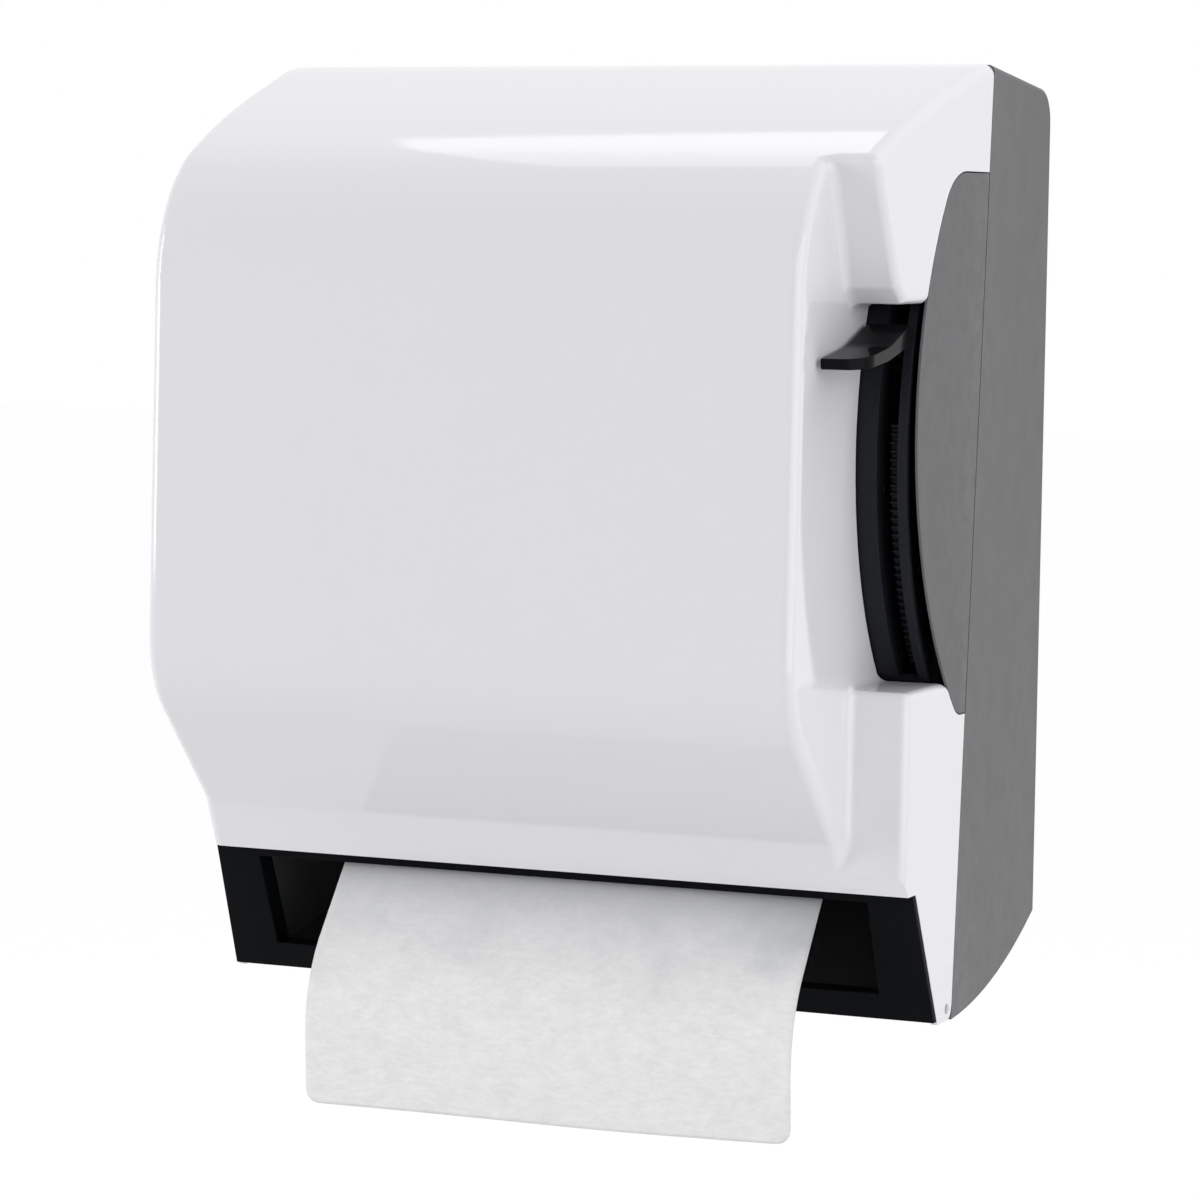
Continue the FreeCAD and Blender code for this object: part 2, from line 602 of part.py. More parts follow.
def cover_edges(block):
    """Outer long edges of the cover that are rounded: both sides and the pocket's ridge."""
    pocket_top = pocket_outline(0)[3][1] + POCKET_RISE

    def on_side(p):
        return abs(abs(p.x) - side_x(p.y, p.z)) < TOUCH and (p.x < 0 or p.z > pocket_top)

    def on_ridge(p):
        return abs(p.x - POCKET_X) < TOUCH and not block.isInside(p + V(-1, -3, 0), TOUCH, True)

    chosen = []
    for edge in block.Edges:
        first, last = edge.ParameterRange
        at = [edge.valueAt(first + (last - first) * s) for s in (0.1, 0.5, 0.9)]
        ahead = all(p.y < seam_y(p.z) - 2 * SEAM and p.z > LIP_HEIGHT + SEAM for p in at)
        if ahead and (all(map(on_side, at)) or all(map(on_ridge, at))):
            chosen.append(edge)
    return chosen


def pocket_edges(block):
    """Edges of the pocket's ledges and facets: where they meet, and where they meet the walls."""
    outline = pocket_outline(0)[1:-1]
    back = outline[3][0] - 1
    below = 0.6 * COVER_EDGE_RADIUS

    def on_facet(p):
        return any(distance_2d((p.y, p.z), a[:2], b[:2]) < TOUCH for a, b in zip(outline, outline[1:]))

    chosen = []
    for edge in block.Edges:
        first, last = edge.ParameterRange
        at = [edge.valueAt(first + (last - first) * s) for s in (0.1, 0.5, 0.9)]
        in_pocket = all(p.x > POCKET_X - TOUCH and p.y < back and POCKET_FOOT + 1 < p.z for p in at)
        in_pocket = in_pocket and all(p.z < slope_z(p.y) - below for p in at)
        if in_pocket and all(map(on_facet, at)):
            chosen.append(edge)
    return chosen


def distance_2d(point, a, b):
    """Distance from a point to the segment a-b in one plane."""
    ux, uy = b[0] - a[0], b[1] - a[1]
    t = ((point[0] - a[0]) * ux + (point[1] - a[1]) * uy) / (ux * ux + uy * uy)
    t = min(max(t, 0), 1)
    return math.hypot(point[0] - a[0] - t * ux, point[1] - a[1] - t * uy)


def lock_pad():
    """Pad under the cover's top that the lock keeper screws to."""
    front = -SHOULDER_START
    pad = box(KEEPER_X0 - 2, KEEPER_X1 + 2, front - 20, front - 1, KEEPER_TOP, BODY_HEIGHT)
    for y in keeper_screw_ys():
        pad = pad.cut(cyl_z((KEEPER_X0 + KEEPER_X1) / 2, y, SCREW_RADIUS + FIT, 0, KEEPER_TOP + 5))
    return pad.common(cover_block(0))


# ================================================================ chin frame
def chin_frame():
    """Black frame of the dispensing window, flush with the cover's sides."""
    top = LIP_HEIGHT + 5.5
    plate = polygon_x([(frame_face(FRAME_FOOT), FRAME_FOOT), (frame_face(top), top),
                       (frame_face(top, FRAME_THICKNESS), top),
                       (frame_face(FRAME_FOOT, FRAME_THICKNESS), FRAME_FOOT)], -BODY_WIDTH, BODY_WIDTH)
    plate = between_sides(plate, 0.0)
    tuck = box(-BODY_WIDTH, BODY_WIDTH, -BODY_DEPTH, 0, LIP_HEIGHT - 0.3, BODY_HEIGHT)
    plate = plate.cut(tuck).fuse(between_sides(plate.common(tuck), COVER_WALL + SEAM))
    sleeve = polygon_x([(frame_face(z, b), z) for z, b in (
        (WINDOW_FOOT - 2, FRAME_THICKNESS), (WINDOW_TOP, FRAME_THICKNESS),
        (WINDOW_TOP, FRAME_THICKNESS + 7), (WINDOW_FOOT - 2, FRAME_THICKNESS + 7))],
        -WINDOW_HALF - 2, WINDOW_HALF + 2)
    window = box(-WINDOW_HALF, WINDOW_HALF, -BODY_DEPTH, 0, WINDOW_FOOT, WINDOW_TOP)
    return join([plate, sleeve]).cut(window).removeSplitter()


# ================================================================ chassis
def boss_face():
    return -CASING_WALL - BOSS_HEIGHT


def right_side_plate():
    rear = boss_face()
    nose = -NOSE_DEPTH - 1
    low = FEED[1] - PLATE_DROP
    top = PIVOT_HEIGHT + PLATE_RISE
    front = -GUIDE_RADIUS - PIVOT_DEPTH + GUIDE_WALL
    outline = [(rear, low), (rear, top), (front + 27, top), (front, PIVOT_HEIGHT + PLATE_SWELL),
               (front, PIVOT_HEIGHT - PLATE_SWELL), (front + 25, FEED[1] + 46),
               (nose, nose_z1() + 2), (nose, nose_z0() - 2), (FEED[0] - FEED_RADIUS, low)]
    plate = polygon_x(outline, PLATE_X0, PLATE_X0 + PLATE_THICKNESS)
    flange = box(PLATE_X0 - FLANGE_WIDTH, PLATE_X0, rear - PLATE_THICKNESS, rear, low, top - 10)
    plate = plate.fuse(flange)
    holes = [(PIVOT, PIVOT_RADIUS + FIT), (stop_place(), STOP_PIN_RADIUS + FIT),
             (IDLER, IDLER_AXLE_RADIUS + FIT), (FEED, BUSH_RADIUS + FIT), (PINCH, PINCH_BUSH_RADIUS + FIT)]
    screws = guide_screw_places() + nose_screw_places() + hub_screw_places()
    holes += [(p, SCREW_RADIUS + FIT) for p in screws]
    return drilled_plate(plate, holes, [(x, z) for x, z in boss_places() if x > 0])


def drilled_plate(plate, holes, flange_holes):
    for (y, z), radius in holes:
        plate = plate.cut(cyl_x(y, z, radius, 0, BODY_WIDTH))
    for x, z in flange_holes:
        plate = plate.cut(cyl_y(x, z, SCREW_RADIUS + 0.2, -40, 0))
    return plate.removeSplitter()


def left_side_plate():
    rear = boss_face()
    nose = -NOSE_DEPTH - 1
    low = FEED[1] - PLATE_DROP
    top = PINCH[1] + LEFT_PLATE_RISE
    outline = [(rear, low), (rear, top), (PINCH[0] - PINCH_RADIUS, top), (nose, nose_z1() + 2),
               (nose, nose_z0() - 2), (FEED[0] - FEED_RADIUS, low)]
    plate = polygon_x(outline, PLATE_X0, PLATE_X0 + PLATE_THICKNESS)
    flange = box(PLATE_X0 - FLANGE_WIDTH, PLATE_X0, rear - PLATE_THICKNESS, rear, low, top)
    plate = plate.fuse(flange)
    holes = [(FEED, BUSH_RADIUS + FIT), (PINCH, PINCH_BUSH_RADIUS + FIT)]
    holes += [(p, SCREW_RADIUS + FIT) for p in nose_screw_places()]
    places = [(-x, z) for x, z in boss_places() if x < 0 and z < top]
    return mirrored(drilled_plate(plate, holes, places))


def screw_y(x, z, y_face, length):
    """Pan-head screw driven along +Y, its head seated on y_face."""
    head = cyl_y(x, z, SCREW_HEAD_RADIUS, y_face - SCREW_HEAD_HEIGHT, y_face)
    recess = cyl_y(x, z, SCREW_RADIUS * 0.8, y_face - SCREW_HEAD_HEIGHT - 1, y_face - SCREW_HEAD_HEIGHT / 2)
    return head.fuse(cyl_y(x, z, SCREW_RADIUS, y_face, y_face + length)).cut(recess)


def screw_x(y, z, x_face, length, side=1):
    """Pan-head screw along X: its head seated on x_face, its shank pointing to -side."""
    head = cyl_x(y, z, SCREW_HEAD_RADIUS, 0, SCREW_HEAD_HEIGHT)
    recess = cyl_x(y, z, SCREW_RADIUS * 0.8, SCREW_HEAD_HEIGHT / 2, SCREW_HEAD_HEIGHT + 1)
    screw = head.fuse(cyl_x(y, z, SCREW_RADIUS, -length, 0)).cut(recess)
    screw.translate(V(x_face * side, 0, 0))
    return screw if side > 0 else mirrored(screw)


def plate_screws():
    face = boss_face() - PLATE_THICKNESS
    length = PLATE_THICKNESS + BOSS_HEIGHT
    return Part.makeCompound([screw_y(x, z, face, length) for x, z in boss_places()])


def nose_z0():
    return web_z(-NOSE_DEPTH + NOSE_THICKNESS) + 2.5


def nose_z1():
    return nose_z0() + 13.5


def nose_screw_places():
    return [(-NOSE_DEPTH + NOSE_THICKNESS / 2, (nose_z0() + nose_z1()) / 2)]


def nose_bar():
    """Cross bar between the side plates, which carries the tear bar."""
    bar = box(-PLATE_X0, PLATE_X0, -NOSE_DEPTH, -NOSE_DEPTH + NOSE_THICKNESS, nose_z0(), nose_z1())
    (y, z), = nose_screw_places()
    for side in (1, -1):
        hole = cyl_x(y, z, SCREW_RADIUS + FIT, PLATE_X0 - 12, PLATE_X0 + 1)
        bar = bar.cut(hole if side > 0 else mirrored(hole))
    for x in tear_screw_xs():
        bar = bar.cut(cyl_y(x, nose_z1() - 4.5, SCREW_RADIUS + FIT, -NOSE_DEPTH - 1, -NOSE_DEPTH + 5))
    return bar


def nose_screws():
    (y, z), = nose_screw_places()
    screw = screw_x(y, z, PLATE_X0 + PLATE_THICKNESS, PLATE_THICKNESS + 8)
    return Part.makeCompound([screw, mirrored(screw)])


def tear_screw_xs():
    return [-TEAR_HALF * 0.8, 0, TEAR_HALF * 0.8]


def tear_bar():
    """Thin steel blade with a serrated lower edge."""
    count = round(2 * TEAR_HALF / TEAR_PITCH)
    pitch = 2 * TEAR_HALF / count
    low = web_z(-NOSE_DEPTH - TEAR_THICKNESS) + 1.6
    y = -NOSE_DEPTH - TEAR_THICKNESS
    points = [V(-TEAR_HALF, y, nose_z1()), V(-TEAR_HALF, y, low + TEAR_TOOTH)]
    for i in range(count):
        x = -TEAR_HALF + i * pitch
        points += [V(x + pitch / 2, y, low), V(x + pitch, y, low + TEAR_TOOTH)]
    points.append(V(TEAR_HALF, y, nose_z1()))
    blade = Part.Face(Part.makePolygon(points + points[:1])).extrude(V(0, TEAR_THICKNESS, 0))
    for x in tear_screw_xs():
        blade = blade.cut(cyl_y(x, nose_z1() - 4.5, SCREW_RADIUS + 0.2, y - 1, 0))
    return blade


def tear_bar_screws():
    face = -NOSE_DEPTH - TEAR_THICKNESS
    screws = [screw_y(x, nose_z1() - 4.5, face, TEAR_THICKNESS + 4) for x in tear_screw_xs()]
    return Part.makeCompound(screws)


def paper_chute():
    """Curved plate below the web, which leads it from the rollers to the window."""
    y0, y1 = FEED[0] - FEED_RADIUS - 7, -NOSE_DEPTH + 16
    z0, z1 = web_z(y0) - 8.5, web_z(y1) - 6
    chain = [(y0 + 5, z0 + 6, 0), (y0, z0, 6), (y1, z1, 6), (y1 - 3, z1 - 7, 0)]
    other = inset_chain(chain, 1.8)
    return rounded_x(chain + other[::-1], -PLATE_X0, PLATE_X0)


# ================================================================ lever guide
def guide_screw_places():
    radius = GUIDE_RADIUS - GUIDE_WALL - 5
    return [polar(*PIVOT, radius, a) for a in (SLOT_TOP_ANGLE, -6.0, SLOT_FOOT_ANGLE + 3)]


def lever_guide():
    """Curved channel behind the slot, with the groove that the lever arm runs in."""
    inner = GUIDE_RADIUS - GUIDE_WALL
    top, foot = SLOT_TOP_ANGLE + 3, SLOT_FOOT_ANGLE - 1
    wall = arc_band(inner, GUIDE_RADIUS, foot, top, GUIDE_X0, GUIDE_X1)
    plate_face = PLATE_X0 + PLATE_THICKNESS
    flange = arc_band(inner - 11, GUIDE_RADIUS, foot, top, plate_face, plate_face + 2.5)
    deep = inner - FLANK_DEPTH
    flanks = [arc_band(deep, GUIDE_RADIUS, foot, top, x, x + FLANK_WALL)
              for x in (GROOVE_X0 - FLANK_WALL, GROOVE_X1)]
    guide = join([wall, flange] + flanks)
    groove = arc_band(deep - 1, GUIDE_RADIUS + 1, GROOVE_FOOT_ANGLE, GROOVE_TOP_ANGLE, GROOVE_X0, GROOVE_X1)
    guide = guide.cut(groove)
    for y, z in guide_screw_places():
        guide = guide.cut(cyl_x(y, z, SCREW_RADIUS + 0.2, plate_face - 1, GUIDE_X1))
    return guide


def guide_screws():
    face = PLATE_X0 + PLATE_THICKNESS + 2.5
    return Part.makeCompound([screw_x(y, z, face, 5.0) for y, z in guide_screw_places()])


def stroke_rack():
    """Fine-toothed strip beside the arm in the groove, fixed to the guide's outer flank."""
    tip = GUIDE_RADIUS - RACK_TOP
    root = tip - RACK_TOOTH
    first, last = GROOVE_FOOT_ANGLE + 0.5, RACK_TOP_ANGLE
    count = int((last - first) / math.degrees(RACK_PITCH / GUIDE_RADIUS))
    step = (last - first) / count
    outline = []
    for i in range(count):
        at = first + i * step
        shares = ((root, 0), (root, 0.45), (tip, 0.6), (tip, 0.85))
        outline += [polar(*PIVOT, radius, at + step * share) for radius, share in shares]
    outline.append(polar(*PIVOT, root, last))
    back = [polar(*PIVOT, root - RACK_BASE, last + (first - last) * i / count) for i in range(count + 1)]
    return polygon_x(outline + back, GROOVE_X1 - RACK_WIDTH, GROOVE_X1)


# ================================================================ gears
def tooth_half_angle(teeth, radius):
    """Half the angle that a tooth fills at a radius, in degrees."""
    pitch_radius = MODULE * teeth / 2
    base = pitch_radius * math.cos(math.radians(PRESSURE_ANGLE))
    at_pitch = math.acos(base / pitch_radius)
    here = math.acos(min(1.0, base / radius))
    thickness = math.pi * MODULE / 2 - BACKLASH / 2
    curl = (math.tan(at_pitch) - at_pitch) - (math.tan(here) - here)
    return math.degrees(thickness / (2 * pitch_radius) + curl)


def tooth_points(centre, teeth, angle):
    """One tooth's outline, from its root on one side to its root on the other."""
    pitch_radius = MODULE * teeth / 2
    root = pitch_radius - 1.25 * MODULE
    tip = pitch_radius + 0.95 * MODULE
    base = pitch_radius * math.cos(math.radians(PRESSURE_ANGLE))
    start = max(root + 0.1 * MODULE, base)
    radii = [root] + [start + (tip - start) * i / 3 for i in range(4)]
    flank = [(r, tooth_half_angle(teeth, max(r, start))) for r in radii]
    rising = [polar(*centre, r, angle - half) for r, half in flank]
    falling = [polar(*centre, r, angle + half) for r, half in reversed(flank)]
    return rising + falling


def spur_gear(centre, teeth, phase, bore):
    points = []
    for i in range(teeth):
        points += tooth_points(centre, teeth, phase + 360.0 * i / teeth)
    gear = polygon_x(points, GEAR_X0, GEAR_X1)
    return gear.cut(cyl_x(*centre, bore, GEAR_X0 - 1, GEAR_X1 + 1))


def idler_phase():
    return IDLER_ANGLE + 180 + 180 / IDLER_TEETH


def roller_gear_phase():
    pitch = 360 / IDLER_TEETH
    offset = idler_phase() + pitch * round((ROLLER_ANGLE - idler_phase()) / pitch) - ROLLER_ANGLE
    gap = ROLLER_ANGLE + 180 - offset * IDLER_TEETH / ROLLER_GEAR_TEETH
    return gap + 180 / ROLLER_GEAR_TEETH


def sector_gear():
    """Quadrant on the lever that drives the idler."""
    pitch = 360 / SECTOR_TEETH
    low = math.ceil(SECTOR_SPARE / pitch)
    high = math.ceil((LEVER_STROKE + SECTOR_SPARE) / pitch)
    points = []
    for i in range(-low, high + 1):
        points += tooth_points(PIVOT, SECTOR_TEETH, IDLER_ANGLE + i * pitch)
    first, last = IDLER_ANGLE - low * pitch, IDLER_ANGLE + high * pitch
    points += [polar(*PIVOT, HUB_RADIUS + 3, last + 20), polar(*PIVOT, HUB_RADIUS + 3, first - 20)]
    plate = polygon_x(points, GEAR_X0, GEAR_X1)
    ring = cyl_x(*PIVOT, HUB_RADIUS + 4, GEAR_X0, GEAR_X1)
    gear = plate.fuse(ring).cut(cyl_x(*PIVOT, HUB_TUBE_RADIUS + FIT, 0, BODY_WIDTH))
    window_in, window_out = HUB_RADIUS + 18, MODULE * SECTOR_TEETH / 2 - 12
    middle = (first + last) / 2
    gear = gear.cut(arc_band(window_in + 22, window_out, first + 8, middle - 4, 0, BODY_WIDTH))
    gear = gear.cut(arc_band(window_in + 22, window_out, middle + 4, last - 8, 0, BODY_WIDTH))
    for y, z in rivet_places():
        gear = gear.cut(cyl_x(y, z, RIVET_RADIUS + FIT, 0, BODY_WIDTH))
    return gear.removeSplitter()


def idler_gear():
    return spur_gear(IDLER, IDLER_TEETH, idler_phase(), IDLER_AXLE_RADIUS + RUNNING)


def idler_axle():
    """Headed stub axle riveted in the right side plate."""
    axle = cyl_x(*IDLER, IDLER_AXLE_RADIUS, PLATE_X0 - 1.5, GEAR_X1 + 0.4)
    collar = cyl_x(*IDLER, IDLER_AXLE_RADIUS + 3, PLATE_X0 + PLATE_THICKNESS, GEAR_X0 - 0.3)
    cap = cyl_x(*IDLER, IDLER_AXLE_RADIUS + 3, GEAR_X1 + 0.4, GEAR_X1 + 2.0)
    return join([axle, collar, cap, cyl_x(*IDLER, IDLER_AXLE_RADIUS + 2, PLATE_X0 - 3, PLATE_X0)])


def roller_gear():
    return spur_gear(FEED, ROLLER_GEAR_TEETH, roller_gear_phase(), CLUTCH_RADIUS + FIT)


def one_way_clutch():
    """Drawn-cup roller clutch pressed in the roller gear, closed ring."""
    return tube_x(*FEED, CLUTCH_RADIUS, FEED_SHAFT_RADIUS + RUNNING, GEAR_X0 + 0.2, GEAR_X1 - 0.2)


# ================================================================ lever
def arm_outline(grow=0.0):
    y, z = PIVOT
    half = ARM_HEIGHT / 2 + grow
    a = math.radians(LEVER_ANGLE)
    along = (-math.cos(a), math.sin(a))
    across = (math.sin(a), math.cos(a))
    corners = [(0, -half), (PADDLE_ROOT_RADIUS + 8 + grow, -ARM_END_DROP - grow),
               (PADDLE_ROOT_RADIUS + 0.5 + grow, ARM_END_RISE + grow), (0, half)]
    return [(y + along[0] * s + across[0] * t, z + along[1] * s + across[1] * t) for s, t in corners]


def rivet_places():
    return [polar(*PIVOT, 40, a) for a in (-14.0, -38.0)]


def lever_arm():
    """Flat arm with its hub, and the lobe that the sector is riveted to."""
    arm = polygon_x(arm_outline(), ARM_X0, ARM_X1)
    lobe = [polar(*PIVOT, 50, a) for a in (-6, -26, -46)]
    waist = HUB_RADIUS - 1
    lobe = [polar(*PIVOT, waist, 80), polar(*PIVOT, 58, 19)] + lobe + [polar(*PIVOT, waist, -120)]
    web = polygon_x(lobe, ARM_X0, ARM_X1)
    hub = cyl_x(*PIVOT, HUB_RADIUS, GEAR_X1, ARM_X1)
    tube = cyl_x(*PIVOT, HUB_TUBE_RADIUS, PLATE_X0 + PLATE_THICKNESS + 0.6, ARM_X1 + SPRING_ROOM)
    posts = [cyl_x(y, z, RIVET_RADIUS + 2.5, GEAR_X1, ARM_X0) for y, z in rivet_places()]
    lever = join([arm, web, hub, tube] + posts)
    lever = lever.cut(cyl_x(*PIVOT, PIVOT_RADIUS + RUNNING, 0, BODY_WIDTH))
    for y, z in rivet_places():
        lever = lever.cut(cyl_x(y, z, RIVET_RADIUS + FIT, 0, BODY_WIDTH))
    return lever


def sector_rivets():
    shapes = []
    for y, z in rivet_places():
        shank = cyl_x(y, z, RIVET_RADIUS, GEAR_X0, ARM_X1)
        head = RIVET_RADIUS + 1.5
        heads = [cyl_x(y, z, head, GEAR_X0 - 1.2, GEAR_X0), cyl_x(y, z, head, ARM_X1, ARM_X1 + 1.2)]
        shapes.append(join([shank] + heads))
    return Part.makeCompound(shapes)


def paddle_outline():
    y, z = PIVOT
    root_top = polar(y, z, PADDLE_ROOT_RADIUS, LEVER_ANGLE + PADDLE_ROOT_RISE)
    root_foot = polar(y, z, PADDLE_ROOT_RADIUS, LEVER_ANGLE - PADDLE_ROOT_DROP)
    tip = (-PADDLE_TIP_DEPTH, PADDLE_TIP_HEIGHT)
    dip = ((root_top[0] + tip[0]) / 2, (root_top[1] + tip[1]) / 2 - 2.5)
    under = (dip[0], dip[1] - PADDLE_THICKNESS - 1)
    return [(*root_top, 2), (*dip, 60), (*tip, 1.2), (tip[0] + 0.6, tip[1] - PADDLE_THICKNESS, 1.2),
            (*under, 60), (*root_foot, 1.5)]


def lever_paddle():
    """Thumb tab on the end of the arm, rounded at its outer front corner."""
    tab = rounded_x(paddle_outline(), PADDLE_X0, PADDLE_X1)
    y0 = -PADDLE_TIP_DEPTH - 2
    x, y = PADDLE_X1 - PADDLE_CORNER, -PADDLE_TIP_DEPTH + PADDLE_CORNER
    corner = box(x, PADDLE_X1 + 1, y0, y, 0, BODY_HEIGHT)
    tab = tab.cut(corner.cut(cyl_z(x, y, PADDLE_CORNER, 0, BODY_HEIGHT)))
    socket = polygon_x(arm_outline(0.1), ARM_X0 - 0.1, ARM_X1 + 0.1)
    return tab.cut(socket)


def lever_pivot_pin():
    pin = cyl_x(*PIVOT, PIVOT_RADIUS, PLATE_X0 - 2.5, ARM_X1 + SPRING_ROOM + 1.8)
    head = cyl_x(*PIVOT, PIVOT_RADIUS + 3, PLATE_X0 - 2.5, PLATE_X0)
    cap = cyl_x(*PIVOT, PIVOT_RADIUS + 3, ARM_X1 + SPRING_ROOM + 0.4, ARM_X1 + SPRING_ROOM + 1.8)
    return join([pin, head, cap])


def stop_place():
    """Centre of the stop, just above the arm at rest."""
    share = STOP_REACH / PADDLE_ROOT_RADIUS
    rise = ARM_HEIGHT / 2 * (1 - share) + ARM_END_RISE * share + STOP_RADIUS + 0.1
    return polar(*PIVOT, STOP_REACH, LEVER_ANGLE + math.degrees(math.asin(rise / STOP_REACH)))


def lever_stop():
    """Rubber sleeve on a pin, which the arm rests against."""
    return tube_x(*stop_place(), STOP_RADIUS, STOP_PIN_RADIUS + FIT, PLATE_X0 + PLATE_THICKNESS, ARM_X1)


def stop_pin():
    place = stop_place()
    pin = cyl_x(*place, STOP_PIN_RADIUS, PLATE_X0 - 1.5, ARM_X1)
    inner_head = cyl_x(*place, STOP_PIN_RADIUS + 1.5, PLATE_X0 - 1.5, PLATE_X0)
    return join([pin, inner_head, cyl_x(*place, STOP_PIN_RADIUS + 1.0, ARM_X1, ARM_X1 + 1.5)])


def coil(y, z, radius, wire, x0, turns):
    """Close-wound spring: rings of wire that touch their neighbours."""
    rings = []
    for i in range(turns):
        centre = V(x0 + wire * (0.5 + 0.94 * i), y, z + radius)
        circle = Part.makeCircle(wire / 2, centre, V(0, 1, 0))
        ring = Part.Face(Part.Wire(circle)).revolve(V(x0, y, z), V(1, 0, 0), 360)
        rings.append(ring)
    return join(rings)


def lever_return_spring():
    """Torsion spring round the hub, one leg on the arm, one on the side plate's stop."""
    x0 = ARM_X1 + 0.5
    radius = HUB_TUBE_RADIUS + 2.0
    body = coil(*PIVOT, radius, SPRING_WIRE, x0, 3)
    mid = x0 + SPRING_WIRE / 2
    y, z = PIVOT
    leg = Part.makeCylinder(SPRING_WIRE / 2, 30, V(mid, y, z + radius), V(0, -1, 0))
    far = mid + 0.94 * 2 * SPRING_WIRE
    back = Part.makeCylinder(SPRING_WIRE / 2, 26, V(far, y, z - radius), V(0, 1, 0))
    return join([body, leg, back])


# ================================================================ rollers
def ring_xs():
    pitch = 2 * (ROLLER_HALF - RING_WIDTH / 2 - 4) / (RING_COUNT - 1)
    return [-ROLLER_HALF + RING_WIDTH / 2 + 4 + pitch * i for i in range(RING_COUNT)]


def rings_along(centre, r_out, r_in):
    half = RING_WIDTH / 2
    return Part.makeCompound([tube_x(*centre, r_out, r_in, x - half, x + half) for x in ring_xs()])


def feed_shaft():
    return cyl_x(*FEED, FEED_SHAFT_RADIUS, -PLATE_X0 - PLATE_THICKNESS - 5, GEAR_X1 + 2.6)


def feed_roller_core():
    return tube_x(*FEED, FEED_CORE_RADIUS, FEED_SHAFT_RADIUS + FIT, -ROLLER_HALF, ROLLER_HALF)


def feed_rubber_rings():
    return rings_along(FEED, FEED_RADIUS, FEED_CORE_RADIUS + FIT)


def flanged_bush(centre, r_out, r_in, flange):
    body = tube_x(*centre, r_out, r_in, PLATE_X0 - 1.5, PLATE_X0 + PLATE_THICKNESS + 1.0)
    rim = tube_x(*centre, flange, r_in, PLATE_X0 - 3.0, PLATE_X0)
    return body.fuse(rim).removeSplitter()


def feed_bushes():
    bush = flanged_bush(FEED, BUSH_RADIUS, FEED_SHAFT_RADIUS + RUNNING, BUSH_RADIUS + 2.5)
    return Part.makeCompound([bush, mirrored(bush)])


def pinch_bushes():
    bush = flanged_bush(PINCH, PINCH_BUSH_RADIUS, PINCH_AXLE_RADIUS + RUNNING, PINCH_BUSH_RADIUS + 1.5)
    return Part.makeCompound([bush, mirrored(bush)])


def shaft_clips():
    clip = tube_x(*FEED, FEED_SHAFT_RADIUS + 3, FEED_SHAFT_RADIUS + FIT, GEAR_X1 + 0.5, GEAR_X1 + 1.7)
    x = -PLATE_X0 - PLATE_THICKNESS - 3.2
    other = tube_x(*FEED, FEED_SHAFT_RADIUS + 3, FEED_SHAFT_RADIUS + FIT, x, x + 1.2)
    return Part.makeCompound([clip, other])


def pinch_axle():
    end = PLATE_X0 + PLATE_THICKNESS + 2.0
    return cyl_x(*PINCH, PINCH_AXLE_RADIUS, -end, end)


def pinch_wheels():
    return rings_along(PINCH, PINCH_RADIUS, PINCH_AXLE_RADIUS + FIT)


def pinch_springs():
    """Leaf springs that bear on the pinch bushes from above."""
    y, z = PINCH[0], PINCH[1] + PINCH_BUSH_RADIUS + 1.5 + 0.25
    chain = [(y - 24, z + 9, 0), (y - 10, z + 1.5, 10), (y, z, 20), (y + 9, z + 2.5, 0)]
    leaf = rounded_x(chain + inset_chain(chain, 0.8)[::-1], PLATE_X0 - 4.5, PLATE_X0)
    return Part.makeCompound([leaf, mirrored(leaf)])


# ================================================================ roll and its holders
def paper_roll():
    return tube_x(*ROLL, ROLL_RADIUS, CORE_RADIUS + FIT, -ROLL_LENGTH / 2, ROLL_LENGTH / 2)


def roll_core():
    return tube_x(*ROLL, CORE_RADIUS, CORE_RADIUS - CORE_WALL, -ROLL_LENGTH / 2, ROLL_LENGTH / 2)


def hub(boss_end):
    """Cone that the core turns on, with its flange and boss, for the right-hand side."""
    start = ROLL_LENGTH / 2 + 0.5
    outer = CORE_RADIUS - CORE_WALL - 0.3
    cone = Part.makeCone(outer, HUB_CONE, HUB_DEPTH, V(start, *ROLL), V(-1, 0, 0))
    flange = cyl_x(*ROLL, CORE_RADIUS + 6, start, start + 2)
    boss = cyl_x(*ROLL, HUB_RADIUS, start + 2, boss_end)
    bore = cyl_x(*ROLL, 6, start - HUB_DEPTH - 1, start - 2)
    return join([cone, flange, boss]).cut(bore)


def hub_screw_places():
    return [(ROLL[0] - 6, ROLL[1]), (ROLL[0] + 6, ROLL[1])]


def roll_hub_right():
    stub = hub(PLATE_X0)
    for y, z in hub_screw_places():
        stub = stub.cut(cyl_x(y, z, SCREW_RADIUS + FIT, PLATE_X0 - 7, PLATE_X0 + 1))
    return stub


def hub_screws():
    face = PLATE_X0 + PLATE_THICKNESS
    return Part.makeCompound([screw_x(y, z, face, PLATE_THICKNESS + 5) for y, z in hub_screw_places()])


def roll_hub_left():
    return mirrored(hub(-ARM_INNER_X))


def release_arm():
    """Arm that swings outwards to let the roll out."""
    z0, z1 = ROLL_HEIGHT - RELEASE_HALF, ROLL_HEIGHT + RELEASE_HALF
    swell, end = ROLL[0] + 10, ROLL[0] - HUB_RADIUS - 1
    outline = [(-RELEASE_DEPTH, z0), (-RELEASE_DEPTH, z1), (swell, z1 + 3),
               (end, z1), (end, z0), (swell, z0 - 3)]
    arm = polygon_x(outline, ARM_INNER_X - ARM_THICKNESS, ARM_INNER_X)
    knuckle = cyl_z(RELEASE_X, -RELEASE_DEPTH, 5.0, ROLL_HEIGHT - 4, z1)
    relief = box(-BODY_WIDTH, 0, -RELEASE_DEPTH - 7, 0, 0, ROLL_HEIGHT - 4)
    arm = join([arm.cut(relief), knuckle])
    return arm.cut(cyl_z(RELEASE_X, -RELEASE_DEPTH, RELEASE_PIN_RADIUS + RUNNING, z0 - 1, z1 + 1))


